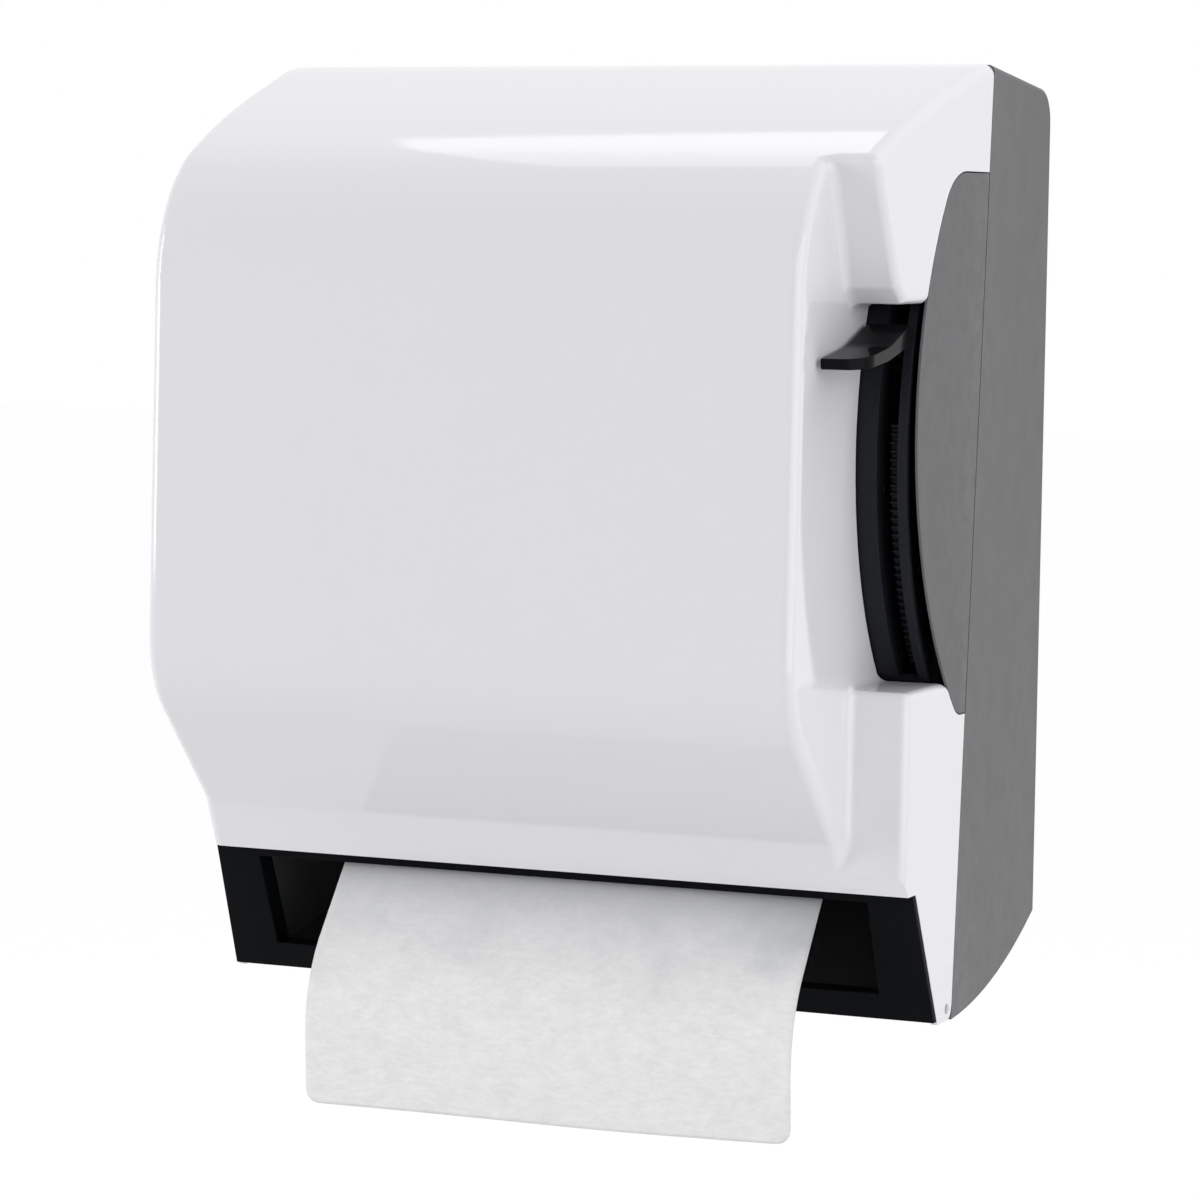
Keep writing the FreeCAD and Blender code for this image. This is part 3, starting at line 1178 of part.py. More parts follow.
def release_bracket():
    rear = boss_face()
    face = rear - BRACKET_SHEET
    z0, z1 = ROLL_HEIGHT - RELEASE_HALF - BRACKET_GAP, ROLL_HEIGHT + RELEASE_HALF + BRACKET_GAP
    base = box(RELEASE_X - 8, RELEASE_X + BRACKET_SCREW_X + 4, face, rear, z0 - 9, z1 + 9)
    ears = [box(RELEASE_X - 6, RELEASE_X + 6, -RELEASE_DEPTH - 6, face, low, low + BRACKET_SHEET)
            for low in (z0 - BRACKET_SHEET, z1)]
    hole = cyl_z(RELEASE_X, -RELEASE_DEPTH, RELEASE_PIN_RADIUS + FIT, 0, BODY_HEIGHT)
    bracket = join([base] + ears).cut(hole)
    for x, z in boss_places():
        bracket = bracket.cut(cyl_y(x, z, SCREW_RADIUS + 0.2, -40, 0))
    return bracket


def release_pin():
    top = ROLL_HEIGHT + RELEASE_HALF + BRACKET_GAP + BRACKET_SHEET
    pin = cyl_z(RELEASE_X, -RELEASE_DEPTH, RELEASE_PIN_RADIUS, 2 * ROLL_HEIGHT - top - 2, top)
    return pin.fuse(cyl_z(RELEASE_X, -RELEASE_DEPTH, RELEASE_PIN_RADIUS + 1.5, top, top + 1.6))


def release_spring():
    wire = 1.2
    rings = []
    for i in range(5):
        z = ROLL_HEIGHT - RELEASE_HALF + wire * (0.5 + 0.94 * i)
        radius = RELEASE_PIN_RADIUS + wire
        circle = Part.makeCircle(wire / 2, V(RELEASE_X + radius, -RELEASE_DEPTH, z), V(0, 1, 0))
        rings.append(Part.Face(Part.Wire(circle)).revolve(V(RELEASE_X, -RELEASE_DEPTH, 0), V(0, 0, 1), 360))
    return join(rings)


# ================================================================ web of paper
def nip_point():
    """Where the web runs between the feed roller and the pinch roller."""
    return polar(*FEED, FEED_RADIUS + WEB_GAP + SHEET_THICKNESS / 2, NIP_ANGLE)


def web_start():
    """Where the web leaves the roll, on the tangent from the nip."""
    nip = nip_point()
    radius = ROLL_RADIUS + WEB_GAP + SHEET_THICKNESS / 2
    dy, dz = nip[0] - ROLL[0], nip[1] - ROLL[1]
    heading = math.atan2(dz, dy) + math.acos(radius / math.hypot(dy, dz))
    return ROLL[0] + radius * math.cos(heading), ROLL[1] + radius * math.sin(heading)


def web_z(y):
    """Height of the web after the nip, which it leaves square to both rollers."""
    nip = nip_point()
    return nip[1] + (y - nip[0]) / math.tan(math.radians(NIP_ANGLE))


def towel_chain():
    """Side view of the leading towel, with a corner at the nip where it turns there."""
    start, nip = web_start(), nip_point()
    y = -SHEET_BEND_DEPTH
    turn = math.atan2(start[1] - nip[1], start[0] - nip[0]) - math.radians(90 - NIP_ANGLE)
    corner = [(*nip, 0)] if abs(turn) > 1e-4 else []
    return [(*start, 0)] + corner + [(y, web_z(y), SHEET_BEND_RADIUS), (y, SHEET_FOOT, 0)]


def towel_sheet():
    """The leading towel: off the roll, through the nip and out over the chin frame."""
    half = SHEET_THICKNESS / 2
    one, other = inset_chain(towel_chain(), half), inset_chain(towel_chain(), -half)
    return rounded_x(one + other[::-1], -SHEET_WIDTH / 2, SHEET_WIDTH / 2)


# ================================================================ lock
def lock_barrel():
    y = -LOCK_DEPTH
    top = BODY_HEIGHT
    body = cyl_z(0, y, LOCK_RADIUS, top - 18, top - 1.6)
    flange = cyl_z(0, y, LOCK_RADIUS + 2.5, top - 1.6, top)
    return join([body, flange]).cut(cyl_z(0, y, PLUG_RADIUS + RUNNING, 0, top + 1))


def lock_nut():
    top = BODY_HEIGHT - 7.0
    nut = cyl_z(0, -LOCK_DEPTH, LOCK_RADIUS + 3, top - 4, top)
    return nut.cut(cyl_z(0, -LOCK_DEPTH, LOCK_RADIUS + FIT, 0, BODY_HEIGHT))


def lock_plug():
    y = -LOCK_DEPTH
    top = BODY_HEIGHT - 0.4
    plug = cyl_z(0, y, PLUG_RADIUS, top - 19.5, top)
    stem = box(-2.5, 2.5, y - 2.5, y + 2.5, top - 23.5, top - 19.5)
    slot = box(-PLUG_RADIUS * 0.7, PLUG_RADIUS * 0.7, y - 0.7, y + 0.7, top - 6, top + 1)
    return join([plug, stem]).cut(slot)


def lock_cam():
    """Flat cam that points forward when the lock is open."""
    y = -LOCK_DEPTH
    top = BODY_HEIGHT - 20.2
    arm = box(-5, 5, y - CAM_REACH, y + 6, top - 2.5, top)
    return arm.cut(box(-2.53, 2.53, y - 2.53, y + 2.53, 0, BODY_HEIGHT))


def lock_keeper():
    """Bracket on the cover whose lip the cam turns in front of."""
    rear = -LOCK_DEPTH + 5.6
    tab = box(KEEPER_X0, KEEPER_X1, -SHOULDER_START - 18, rear + 2, KEEPER_TOP - 2, KEEPER_TOP)
    lip = box(KEEPER_X0, KEEPER_X1, rear, rear + 2, BODY_HEIGHT - 25, KEEPER_TOP - 2)
    keeper = join([tab, lip])
    for y in keeper_screw_ys():
        keeper = keeper.cut(cyl_z((KEEPER_X0 + KEEPER_X1) / 2, y, SCREW_RADIUS + 0.2, 0, BODY_HEIGHT))
    return keeper


def keeper_screw_ys():
    return [-SHOULDER_START - 14, -SHOULDER_START - 6]


def keeper_screws():
    screws = []
    x = (KEEPER_X0 + KEEPER_X1) / 2
    for y in keeper_screw_ys():
        low = KEEPER_TOP - 2
        head = cyl_z(x, y, SCREW_HEAD_RADIUS, low - SCREW_HEAD_HEIGHT, low)
        screws.append(head.fuse(cyl_z(x, y, SCREW_RADIUS, low, low + 6)))
    return Part.makeCompound(screws)


# ---------------------------------------------------------------- worked out from the sizes above
PIVOT = (-PIVOT_DEPTH, PIVOT_HEIGHT)
IDLER = polar(*PIVOT, MODULE * (SECTOR_TEETH + IDLER_TEETH) / 2, IDLER_ANGLE)
FEED = polar(*IDLER, MODULE * (IDLER_TEETH + ROLLER_GEAR_TEETH) / 2, ROLLER_ANGLE)
PINCH = polar(*FEED, FEED_RADIUS + PINCH_RADIUS + SHEET_THICKNESS + 2 * WEB_GAP, NIP_ANGLE)
ROLL = (-ROLL_DEPTH, ROLL_HEIGHT)

PIECES = [
    rear_casing, front_cover, chin_frame, hinge_pins, right_side_plate, left_side_plate, plate_screws,
    nose_bar, nose_screws, tear_bar, tear_bar_screws, paper_chute, lever_guide, guide_screws, stroke_rack,
    lever_pivot_pin, lever_return_spring, lever_stop, stop_pin, lever_arm, lever_paddle, sector_gear,
    sector_rivets, idler_axle, idler_gear, roller_gear, one_way_clutch, feed_shaft, feed_roller_core,
    feed_rubber_rings, feed_bushes,
    shaft_clips, pinch_axle, pinch_wheels, pinch_bushes, pinch_springs, paper_roll, roll_core,
    roll_hub_right, hub_screws, roll_hub_left, release_arm, release_bracket, release_pin, release_spring,
    towel_sheet, lock_barrel, lock_nut, lock_plug, lock_cam, lock_keeper, keeper_screws,
]


def main():
    os.makedirs("parts", exist_ok=True)
    for piece in PIECES:
        save(piece.__name__, piece())


main()
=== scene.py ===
"""Dressing of the lever towel dispenser: shells, lever works, rollers, paper and lock."""
import json
import logging
import math
from dataclasses import dataclass, field
from enum import Enum
from typing import ClassVar

import bmesh
import bpy
from mathutils import Matrix, Quaternion, Vector, noise

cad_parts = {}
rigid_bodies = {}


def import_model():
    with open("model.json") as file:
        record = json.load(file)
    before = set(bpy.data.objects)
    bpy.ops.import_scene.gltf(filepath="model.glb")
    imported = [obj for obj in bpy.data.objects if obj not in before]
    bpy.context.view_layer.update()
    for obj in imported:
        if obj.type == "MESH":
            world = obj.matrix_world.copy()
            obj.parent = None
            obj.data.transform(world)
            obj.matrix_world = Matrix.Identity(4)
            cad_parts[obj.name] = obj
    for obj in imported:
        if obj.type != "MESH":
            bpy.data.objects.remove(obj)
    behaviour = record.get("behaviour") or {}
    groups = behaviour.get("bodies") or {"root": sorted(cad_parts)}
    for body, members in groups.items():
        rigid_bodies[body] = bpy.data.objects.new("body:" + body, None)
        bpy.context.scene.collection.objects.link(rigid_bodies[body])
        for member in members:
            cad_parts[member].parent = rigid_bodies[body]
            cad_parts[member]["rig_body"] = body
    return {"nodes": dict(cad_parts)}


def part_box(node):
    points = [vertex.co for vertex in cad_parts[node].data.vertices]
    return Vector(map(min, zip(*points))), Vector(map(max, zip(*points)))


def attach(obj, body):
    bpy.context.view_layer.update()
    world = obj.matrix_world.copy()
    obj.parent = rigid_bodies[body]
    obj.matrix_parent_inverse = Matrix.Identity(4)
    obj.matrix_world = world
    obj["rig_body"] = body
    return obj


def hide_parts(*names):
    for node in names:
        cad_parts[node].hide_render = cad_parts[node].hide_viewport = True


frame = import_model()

LOG = logging.getLogger("dispenser")
Colour = tuple[float, float, float]
ROLL_CENTRE = (-0.125, 0.045)  # depth and height of the roll's axis, in metres
CAD_MERGE = 0.000004  # CAD vertices closer than this, in metres, are one
PAPER_SHINE = 0.25  # specular level of all paper


# ---------------------------------------------------------------- node graphs
class Graph:
    """Adds nodes to one node tree and joins them."""

    def __init__(self, tree: bpy.types.NodeTree) -> None:
        """Starts on an emptied tree.

        Args:
            tree: The node tree to fill.
        """
        self.tree = tree
        self.tree.nodes.clear()
        self.column = 0

    def add(self, kind: str, inputs: dict | None = None, **settings: object) -> bpy.types.Node:
        """Adds one node, sets its properties and feeds its inputs.

        Args:
            kind: The node's type name.
            inputs: Input name or number to a value or to an output socket.
            settings: Properties of the node itself.

        Returns:
            The new node.
        """
        node = self.tree.nodes.new(kind)
        node.location = (self.column * 190, -(self.column % 4) * 160)
        self.column += 1
        for key, value in settings.items():
            setattr(node, key, value)
        for key, value in (inputs or {}).items():
            self.feed(node.inputs[key], value)
        return node

    def feed(self, target: bpy.types.NodeSocket, value: object) -> None:
        """Links an output socket to the target, or sets the target's own value.

        Args:
            target: The input socket.
            value: An output socket, a number, a vector or a colour of three parts.
        """
        if isinstance(value, bpy.types.NodeSocket):
            self.tree.links.new(value, target)
        elif isinstance(value, tuple) and len(value) == 3 and target.type == "RGBA":
            target.default_value = (*value, 1.0)
        else:
            target.default_value = value

    def maths(self, operation: str, a: object, b: object = 0.0, clamp: bool = False) -> bpy.types.NodeSocket:
        """Adds a Math node.

        Args:
            operation: Name of the operation.
            a: First value or socket.
            b: Second value or socket.
            clamp: Whether the result is held between 0 and 1.

        Returns:
            The result socket.
        """
        node = self.add("ShaderNodeMath", {0: a, 1: b}, operation=operation, use_clamp=clamp)
        return node.outputs[0]

    def total(self, *parts: tuple[object, object]) -> bpy.types.NodeSocket:
        """Adds up values or sockets, each times its weight.

        Args:
            parts: Pairs of a value and its weight.

        Returns:
            The sum's socket.
        """
        first, *rest = [self.maths("MULTIPLY", value, weight) for value, weight in parts]
        for other in rest:
            first = self.maths("ADD", first, other)
        return first

    def ramp(self, value: object, low: float, high: float, out_low: float = 0.0,
             out_high: float = 1.0) -> bpy.types.NodeSocket:
        """Maps low..high onto out_low..out_high with smooth ends.

        Args:
            value: The value or socket to map.
            low: Value that gives out_low.
            high: Value that gives out_high.
            out_low: Result at low.
            out_high: Result at high.

        Returns:
            The mapped socket.
        """
        wires = {"Value": value, "From Min": low, "From Max": high, "To Min": out_low, "To Max": out_high}
        return self.add("ShaderNodeMapRange", wires, interpolation_type="SMOOTHSTEP").outputs["Result"]

    def blend(self, mask: object, first: object, second: object, mode: str = "MIX") -> bpy.types.NodeSocket:
        """Mixes two colours by a mask.

        Args:
            mask: Share of the second colour.
            first: Colour where the mask is 0.
            second: Colour where the mask is 1.
            mode: Blending mode.

        Returns:
            The mixed colour socket.
        """
        node = self.add("ShaderNodeMix", data_type="RGBA", blend_type=mode)
        # A Mix node's sockets share names: 0 is its mask, 6 and 7 are its colours, and 2 is the colour it gives.
        for slot, value in ((0, mask), (6, first), (7, second)):
            self.feed(node.inputs[slot], value)
        return node.outputs[2]

    def speckle(self, place: object, scale: object, detail: float = 2.0, rough: float = 0.5) -> bpy.types.NodeSocket:
        """Noise between 0 and 1.

        Args:
            place: Coordinates to read.
            scale: Repeats per metre.
            detail: Number of finer layers.
            rough: Weight of the finer layers.

        Returns:
            The noise socket.
        """
        wires = {"Vector": place, "Scale": scale, "Detail": detail, "Roughness": rough}
        return self.add("ShaderNodeTexNoise", wires).outputs["Fac"]

    def stretched(self, place: object, shares: tuple[float, float, float]) -> bpy.types.NodeSocket:
        """Coordinates with each axis scaled, so that a pattern runs long where its share is small."""
        return self.add("ShaderNodeMapping", {"Vector": place, "Scale": shares}).outputs[0]

    def relief(self, shader: bpy.types.Node, height: object, bump: float, depth: float) -> None:
        """Gives a shader a fine relief.

        Args:
            shader: The shader node.
            height: Height between 0 and 1.
            bump: Strength of the relief.
            depth: Depth of the relief, in metres.
        """
        wires = {"Strength": bump, "Distance": depth, "Height": height}
        self.feed(shader.inputs["Normal"], self.add("ShaderNodeBump", wires).outputs[0])


class SocketKind(Enum):
    """Socket types of a shader group."""

    VALUE = "NodeSocketFloat"
    COLOUR = "NodeSocketColor"
    PLACE = "NodeSocketVector"


class EffectGroup:
    """A shared surface effect, kept as one shader node group."""

    made: ClassVar[dict[str, bpy.types.NodeTree]] = {}

    def __init__(self, name: str, inputs: dict[str, tuple], outputs: dict[str, SocketKind]) -> None:
        """Makes the group's tree and its sockets.

        Args:
            name: The group's name.
            inputs: Input name to its kind and default value.
            outputs: Output name to its kind.
        """
        self.tree = bpy.data.node_groups.new(name, "ShaderNodeTree")
        self.graph = Graph(self.tree)
        for label, (kind, default) in inputs.items():
            socket = self.tree.interface.new_socket(label, in_out="INPUT", socket_type=kind.value)
            if default is not None:
                socket.default_value = default
        for label, kind in outputs.items():
            self.tree.interface.new_socket(label, in_out="OUTPUT", socket_type=kind.value)
        self.inside = self.graph.add("NodeGroupInput").outputs
        self.out = self.graph.add("NodeGroupOutput").inputs
        EffectGroup.made[name] = self.tree

    def give(self, **results: object) -> None:
        """Links results to the group's outputs, with underscores for spaces."""
        for label, value in results.items():
            self.graph.feed(self.out[label.replace("_", " ")], value)


def moulded_grain() -> None:
    """Fine spark-eroded texture of a moulding: height and a matching sheen mask."""
    fine_scale, broad_scale = 1.7, 0.05  # times the scale of the pits
    group = EffectGroup(
        "moulded grain",
        {"Place": (SocketKind.PLACE, None), "Scale": (SocketKind.VALUE, 900.0)},
        {"Height": SocketKind.VALUE, "Sheen": SocketKind.VALUE},
    )
    g, place, scale = group.graph, group.inside["Place"], group.inside["Scale"]
    pits = g.add("ShaderNodeTexVoronoi", {"Vector": place, "Scale": scale}, feature="SMOOTH_F1")
    fine = g.speckle(place, g.maths("MULTIPLY", scale, fine_scale), 3.0, 0.6)
    height = g.total((pits.outputs["Distance"], 0.7), (fine, 0.6))
    broad = g.speckle(place, g.maths("MULTIPLY", scale, broad_scale), 2.0)
    group.give(Height=height, Sheen=g.ramp(g.maths("ADD", g.maths("MULTIPLY", fine, 0.4), broad), 0.4, 1.0))


def tone_drift() -> None:
    """Slow change of tone over a surface, with a finer fleck on top."""
    fleck_scale = 60.0  # times the scale of the slow change
    group = EffectGroup(
        "tone drift",
        {"Place": (SocketKind.PLACE, None), "Colour": (SocketKind.COLOUR, None),
         "Scale": (SocketKind.VALUE, 9.0), "Amount": (SocketKind.VALUE, 0.05), "Fleck": (SocketKind.VALUE, 0.02)},
        {"Colour": SocketKind.COLOUR},
    )
    g, wires = group.graph, group.inside
    slow = g.maths("SUBTRACT", g.speckle(wires["Place"], wires["Scale"], 3.0), 0.5)
    specks = g.speckle(wires["Place"], g.maths("MULTIPLY", wires["Scale"], fleck_scale), 2.0)
    fleck = g.maths("SUBTRACT", specks, 0.5)
    level = g.maths("ADD", g.total((slow, wires["Amount"]), (fleck, wires["Fleck"])), 1.0)
    tint = g.add("ShaderNodeCombineColor", {0: level, 1: level, 2: level}).outputs[0]
    group.give(Colour=g.blend(1.0, wires["Colour"], tint, "MULTIPLY"))


def rubbed_edges() -> None:
    """Lighter or darker colour along the edges that hands and cloths rub."""
    patch_scale, least = 140.0, 0.35  # the rub is broken up, but nowhere less than this share
    edge_from, edge_full = 0.515, 0.58  # pointiness: 0.5 is a flat face
    group = EffectGroup(
        "rubbed edges",
        {"Place": (SocketKind.PLACE, None), "Colour": (SocketKind.COLOUR, None),
         "Rubbed": (SocketKind.COLOUR, None), "Amount": (SocketKind.VALUE, 0.3)},
        {"Colour": SocketKind.COLOUR, "Mask": SocketKind.VALUE},
    )
    g, wires = group.graph, group.inside
    pointy = g.add("ShaderNodeNewGeometry").outputs["Pointiness"]
    broken = g.ramp(g.speckle(wires["Place"], patch_scale, 4.0, 0.65), 0.35, 0.65, least, 1.0)
    mask = g.maths("MULTIPLY", g.maths("MULTIPLY", g.ramp(pointy, edge_from, edge_full), broken), wires["Amount"])
    group.give(Colour=g.blend(mask, wires["Colour"], wires["Rubbed"]), Mask=mask)


def resting_dust() -> None:
    """Thin dust on faces that look up."""
    dust, patch_scale, level_from = (0.5, 0.49, 0.47), 60.0, 0.55  # level_from: least upward share of a normal
    group = EffectGroup(
        "resting dust",
        {"Place": (SocketKind.PLACE, None), "Colour": (SocketKind.COLOUR, None), "Amount": (SocketKind.VALUE, 0.1)},
        {"Colour": SocketKind.COLOUR},
    )
    g, wires = group.graph, group.inside
    facing = g.add("ShaderNodeSeparateXYZ", {0: g.add("ShaderNodeNewGeometry").outputs["Normal"]}).outputs[2]
    patchy = g.ramp(g.speckle(wires["Place"], patch_scale, 5.0, 0.6), 0.3, 0.75)
    mask = g.maths("MULTIPLY", g.maths("MULTIPLY", g.ramp(facing, level_from, 1.0), patchy), wires["Amount"])
    group.give(Colour=g.blend(mask, wires["Colour"], dust))


def drawn_lines() -> None:
    """Fine lines left by rolling, drawing or turning, along one direction."""
    along, broad_scale = 0.02, 0.12  # share of the scale along the lines, and that of the broader streaks
    group = EffectGroup(
        "drawn lines",
        {"Place": (SocketKind.PLACE, None), "Scale": (SocketKind.VALUE, 1500.0)},
        {"Height": SocketKind.VALUE, "Streak": SocketKind.VALUE},
    )
    g, wires = group.graph, group.inside
    thin = g.stretched(wires["Place"], (along, 1.0, 1.0))
    lines = g.speckle(thin, wires["Scale"], 3.0, 0.6)
    broad = g.speckle(thin, g.maths("MULTIPLY", wires["Scale"], broad_scale), 2.0)
    group.give(Height=lines, Streak=g.total((lines, 0.5), (broad, 0.5)))


# ---------------------------------------------------------------- finishes
@dataclass(frozen=True)
class Finish:
    """What every finish has: its name and its colour."""

    name: str
    colour: Colour

    def start(self) -> tuple[bpy.types.Material, Graph, bpy.types.Node, bpy.types.NodeSocket]:
        """Makes the material with its shader and its coordinates.

        Returns:
            The material, its graph, the shader node and the Object coordinates.
        """
        material = bpy.data.materials.new(self.name)
        material.use_nodes = True
        material.diffuse_color = (*self.colour, 1.0)
        graph = Graph(material.node_tree)
        shader = graph.add("ShaderNodeBsdfPrincipled")
        graph.add("ShaderNodeOutputMaterial", {"Surface": shader.outputs[0]})
        place = graph.add("ShaderNodeTexCoord").outputs["Object"]
        return material, graph, shader, place

    @staticmethod
    def effect(graph: Graph, name: str, **inputs: object) -> bpy.types.Node:
        """Places a shared effect group in a material.

        Args:
            graph: The material's graph.
            name: The group's name.
            inputs: Values for the group's inputs.

        Returns:
            The group node.
        """
        return graph.add("ShaderNodeGroup", inputs, node_tree=EffectGroup.made[name])

    def build(self) -> bpy.types.Material:
        """Makes the material."""
        raise NotImplementedError


@dataclass(frozen=True)
class Moulding(Finish):
    """Injection-moulded plastic or rubber, glossy or grained; lengths in metres, scales per metre."""

    roughness: float = 0.4
    roughness_spread: float = 0.06
    grain: float = 900.0
    depth: float = 0.00003
    bump: float = 0.3
    drift: float = 0.04
    fleck: float = 0.02
    rub: float = 0.25
    rubbed: Colour = (0.4, 0.4, 0.4)
    rub_gloss: float = 0.1
    dust: float = 0.0
    ior: float = 1.46
    shine: float = 0.5

    def build(self) -> bpy.types.Material:
        """Makes the plastic's material.

        Returns:
            The material.
        """
        material, g, shader, place = self.start()
        drift = self.effect(g, "tone drift", Place=place, Colour=self.colour, Amount=self.drift, Fleck=self.fleck)
        rub = self.effect(g, "rubbed edges", Place=place, Colour=drift.outputs["Colour"], Rubbed=self.rubbed,
                          Amount=self.rub)
        colour = rub.outputs["Colour"]
        if self.dust:
            colour = self.effect(g, "resting dust", Place=place, Colour=colour, Amount=self.dust).outputs["Colour"]
        grain = self.effect(g, "moulded grain", Place=place, Scale=self.grain)
        low, high = self.roughness - self.roughness_spread, self.roughness + self.roughness_spread
        gloss = g.ramp(grain.outputs["Sheen"], 0.0, 1.0, low, high)
        polish = g.maths("MULTIPLY", rub.outputs["Mask"], self.rub_gloss)
        g.feed(shader.inputs["Base Color"], colour)
        g.feed(shader.inputs["Roughness"], g.maths("SUBTRACT", gloss, polish))
        g.relief(shader, grain.outputs["Height"], self.bump, self.depth)
        shader.inputs["IOR"].default_value = self.ior
        shader.inputs["Specular IOR Level"].default_value = self.shine
        return material


@dataclass(frozen=True)
class Plating(Finish):
    """Plated, ground or turned metal with fine lines; lengths in metres, scales per metre."""

    roughness: float = 0.32
    lines: float = 1500.0
    depth: float = 0.00002
    bump: float = 0.25
    tarnish: Colour = (0.3, 0.3, 0.31)
    spots: float = 0.35
    spot_scale: float = 75.0
    spot_dulling: float = 0.25
    drift_scale: float = 24.0
    drift: float = 0.14
    fleck: float = 0.05
    rub: float = 0.35
    rubbed: Colour = (0.85, 0.85, 0.85)
    smoother: float = 0.08
    rougher: float = 0.1

    def build(self) -> bpy.types.Material:
        """Makes the metal's material.

        Returns:
            The material.
        """
        material, g, shader, place = self.start()
        lines = self.effect(g, "drawn lines", Place=place, Scale=self.lines)
        drift = self.effect(g, "tone drift", Place=place, Colour=self.colour, Scale=self.drift_scale,
                            Amount=self.drift, Fleck=self.fleck)
        dull = g.maths("MULTIPLY", g.ramp(g.speckle(place, self.spot_scale, 5.0, 0.62), 0.5, 0.78), self.spots)
        rub = self.effect(g, "rubbed edges", Place=place, Colour=g.blend(dull, drift.outputs["Colour"], self.tarnish),
                          Rubbed=self.rubbed, Amount=self.rub)
        base = g.ramp(lines.outputs["Streak"], 0.2, 0.8, self.roughness - self.smoother, self.roughness + self.rougher)
        g.feed(shader.inputs["Base Color"], rub.outputs["Colour"])
        g.feed(shader.inputs["Roughness"], g.maths("ADD", base, g.maths("MULTIPLY", dull, self.spot_dulling)))
        g.relief(shader, lines.outputs["Height"], self.bump, self.depth)
        shader.inputs["Metallic"].default_value = 1.0
        return material


@dataclass(frozen=True)
class Crepe(Finish):
    """Soft creped towel, read from the sheet's own map in metres; scales are per metre.

    The swirl bends the folds, the clouds and thin spots vary the ply, and the relief's hollows are darkened as painted
    shade.
    The sheet next to the window gets a painted shade colour, as where it hangs under the cover's lip, fading out along
    the sheet between the two distances of its run.
    """

    crinkle: float = 620.0
    fibre: float = 1612.0
    swirl: float = 45.0
    swirl_reach: float = 0.012
    cloud: float = 120.0
    thin: float = 260.0
    thin_share: float = 0.22
    depth: float = 0.00016
    bump: float = 0.55
    shade: Colour = (0.66, 0.665, 0.67)
    shade_share: float = 0.5
    # painted shade where the sheet hangs under the cover's lip: its colour, where it fades along and across the sheet,
    # and its clouds
    painted_shade: Colour = (0.48, 0.492, 0.525)
    painted_shade_run: tuple[float, float] = (0.15, 0.218)
    painted_shade_side: tuple[float, float] = (0.045, 0.1)
    painted_shade_side_share: float = 0.55
    painted_shade_cloud: float = 38.0
    painted_shade_wander: float = 0.07
    tone_patch_share: float = 0.12
    sheen: float = 0.15
    sheen_roughness: float = 0.6

    def build(self) -> bpy.types.Material:
        """Makes the towel's material.

        Returns:
            The material.
        """
        material, g, shader, _ = self.start()
        place = g.add("ShaderNodeUVMap").outputs["UV"]
        swirl = g.add("ShaderNodeTexNoise", {"Vector": place, "Scale": self.swirl, "Detail": 2.0}).outputs["Color"]
        bent = g.add("ShaderNodeVectorMath", {0: swirl, 1: (self.swirl_reach,) * 3}, operation="MULTIPLY").outputs[0]
        warped = g.add("ShaderNodeVectorMath", {0: place, 1: bent}, operation="ADD").outputs[0]
        folds = g.speckle(g.stretched(warped, (0.3, 1.0, 1.0)), self.crinkle, 4.0, 0.62)
        fibres = g.speckle(warped, self.fibre, 3.0, 0.7)
        clouds = g.speckle(place, self.cloud, 5.0, 0.68)
        height = g.total((folds, 0.6), (fibres, 0.3), (clouds, 0.5))
        # painted shade: the relief's hollows are darkened towards the shade colour
        hollow_shade = g.ramp(height, 0.45, 0.95, 1.0, 0.0)
        colour = g.blend(g.maths("MULTIPLY", hollow_shade, self.shade_share), self.colour, self.shade)
        thin = g.ramp(g.speckle(place, self.thin, 4.0, 0.7), 0.5, 0.75)
        colour = g.blend(g.maths("MULTIPLY", thin, self.thin_share), colour, self.shade)
        # painted shade under the cover's lip, with cloudy patches of darker tone
        colour = g.blend(self.painted_shade_mask(g, place), colour, self.painted_shade)
        g.feed(shader.inputs["Base Color"], colour)
        g.feed(shader.inputs["Roughness"], g.ramp(fibres, 0.3, 0.7, 0.86, 0.98))
        g.relief(shader, height, self.bump, self.depth)
        shader.inputs["Specular IOR Level"].default_value = PAPER_SHINE
        shader.inputs["Sheen Weight"].default_value = self.sheen
        shader.inputs["Sheen Roughness"].default_value = self.sheen_roughness
        return material

    def painted_shade_mask(self, g: Graph, place: bpy.types.NodeSocket) -> bpy.types.NodeSocket:
        """Painted shade on the sheet near the window, where it hangs under the cover's lip, with clouds along its edge
        and cloudy patches of darker tone all over.

        Args:
            g: The material's graph.
            place: The sheet's own map, in metres.

        Returns:
            The mask, strongest near the window and towards the lever's side.
        """
        across, down = g.add("ShaderNodeSeparateXYZ", {0: place}).outputs[:2]
        clouds = g.speckle(place, self.painted_shade_cloud, 4.0, 0.6)
        down = g.maths("ADD", down, g.maths("MULTIPLY", g.maths("SUBTRACT", clouds, 0.5), self.painted_shade_wander))
        # painted shade: near the window along the sheet, more towards the lever's side; the patches are cloudy tone all
        # over
        window, side = g.ramp(down, *self.painted_shade_run, 1.0, 0.0), g.ramp(across, *self.painted_shade_side, self.painted_shade_side_share, 1.0)
        patches = g.maths("MULTIPLY", g.ramp(clouds, 0.5, 0.75), self.tone_patch_share)
        return g.maths("ADD", g.maths("MULTIPLY", window, side), patches, clamp=True)


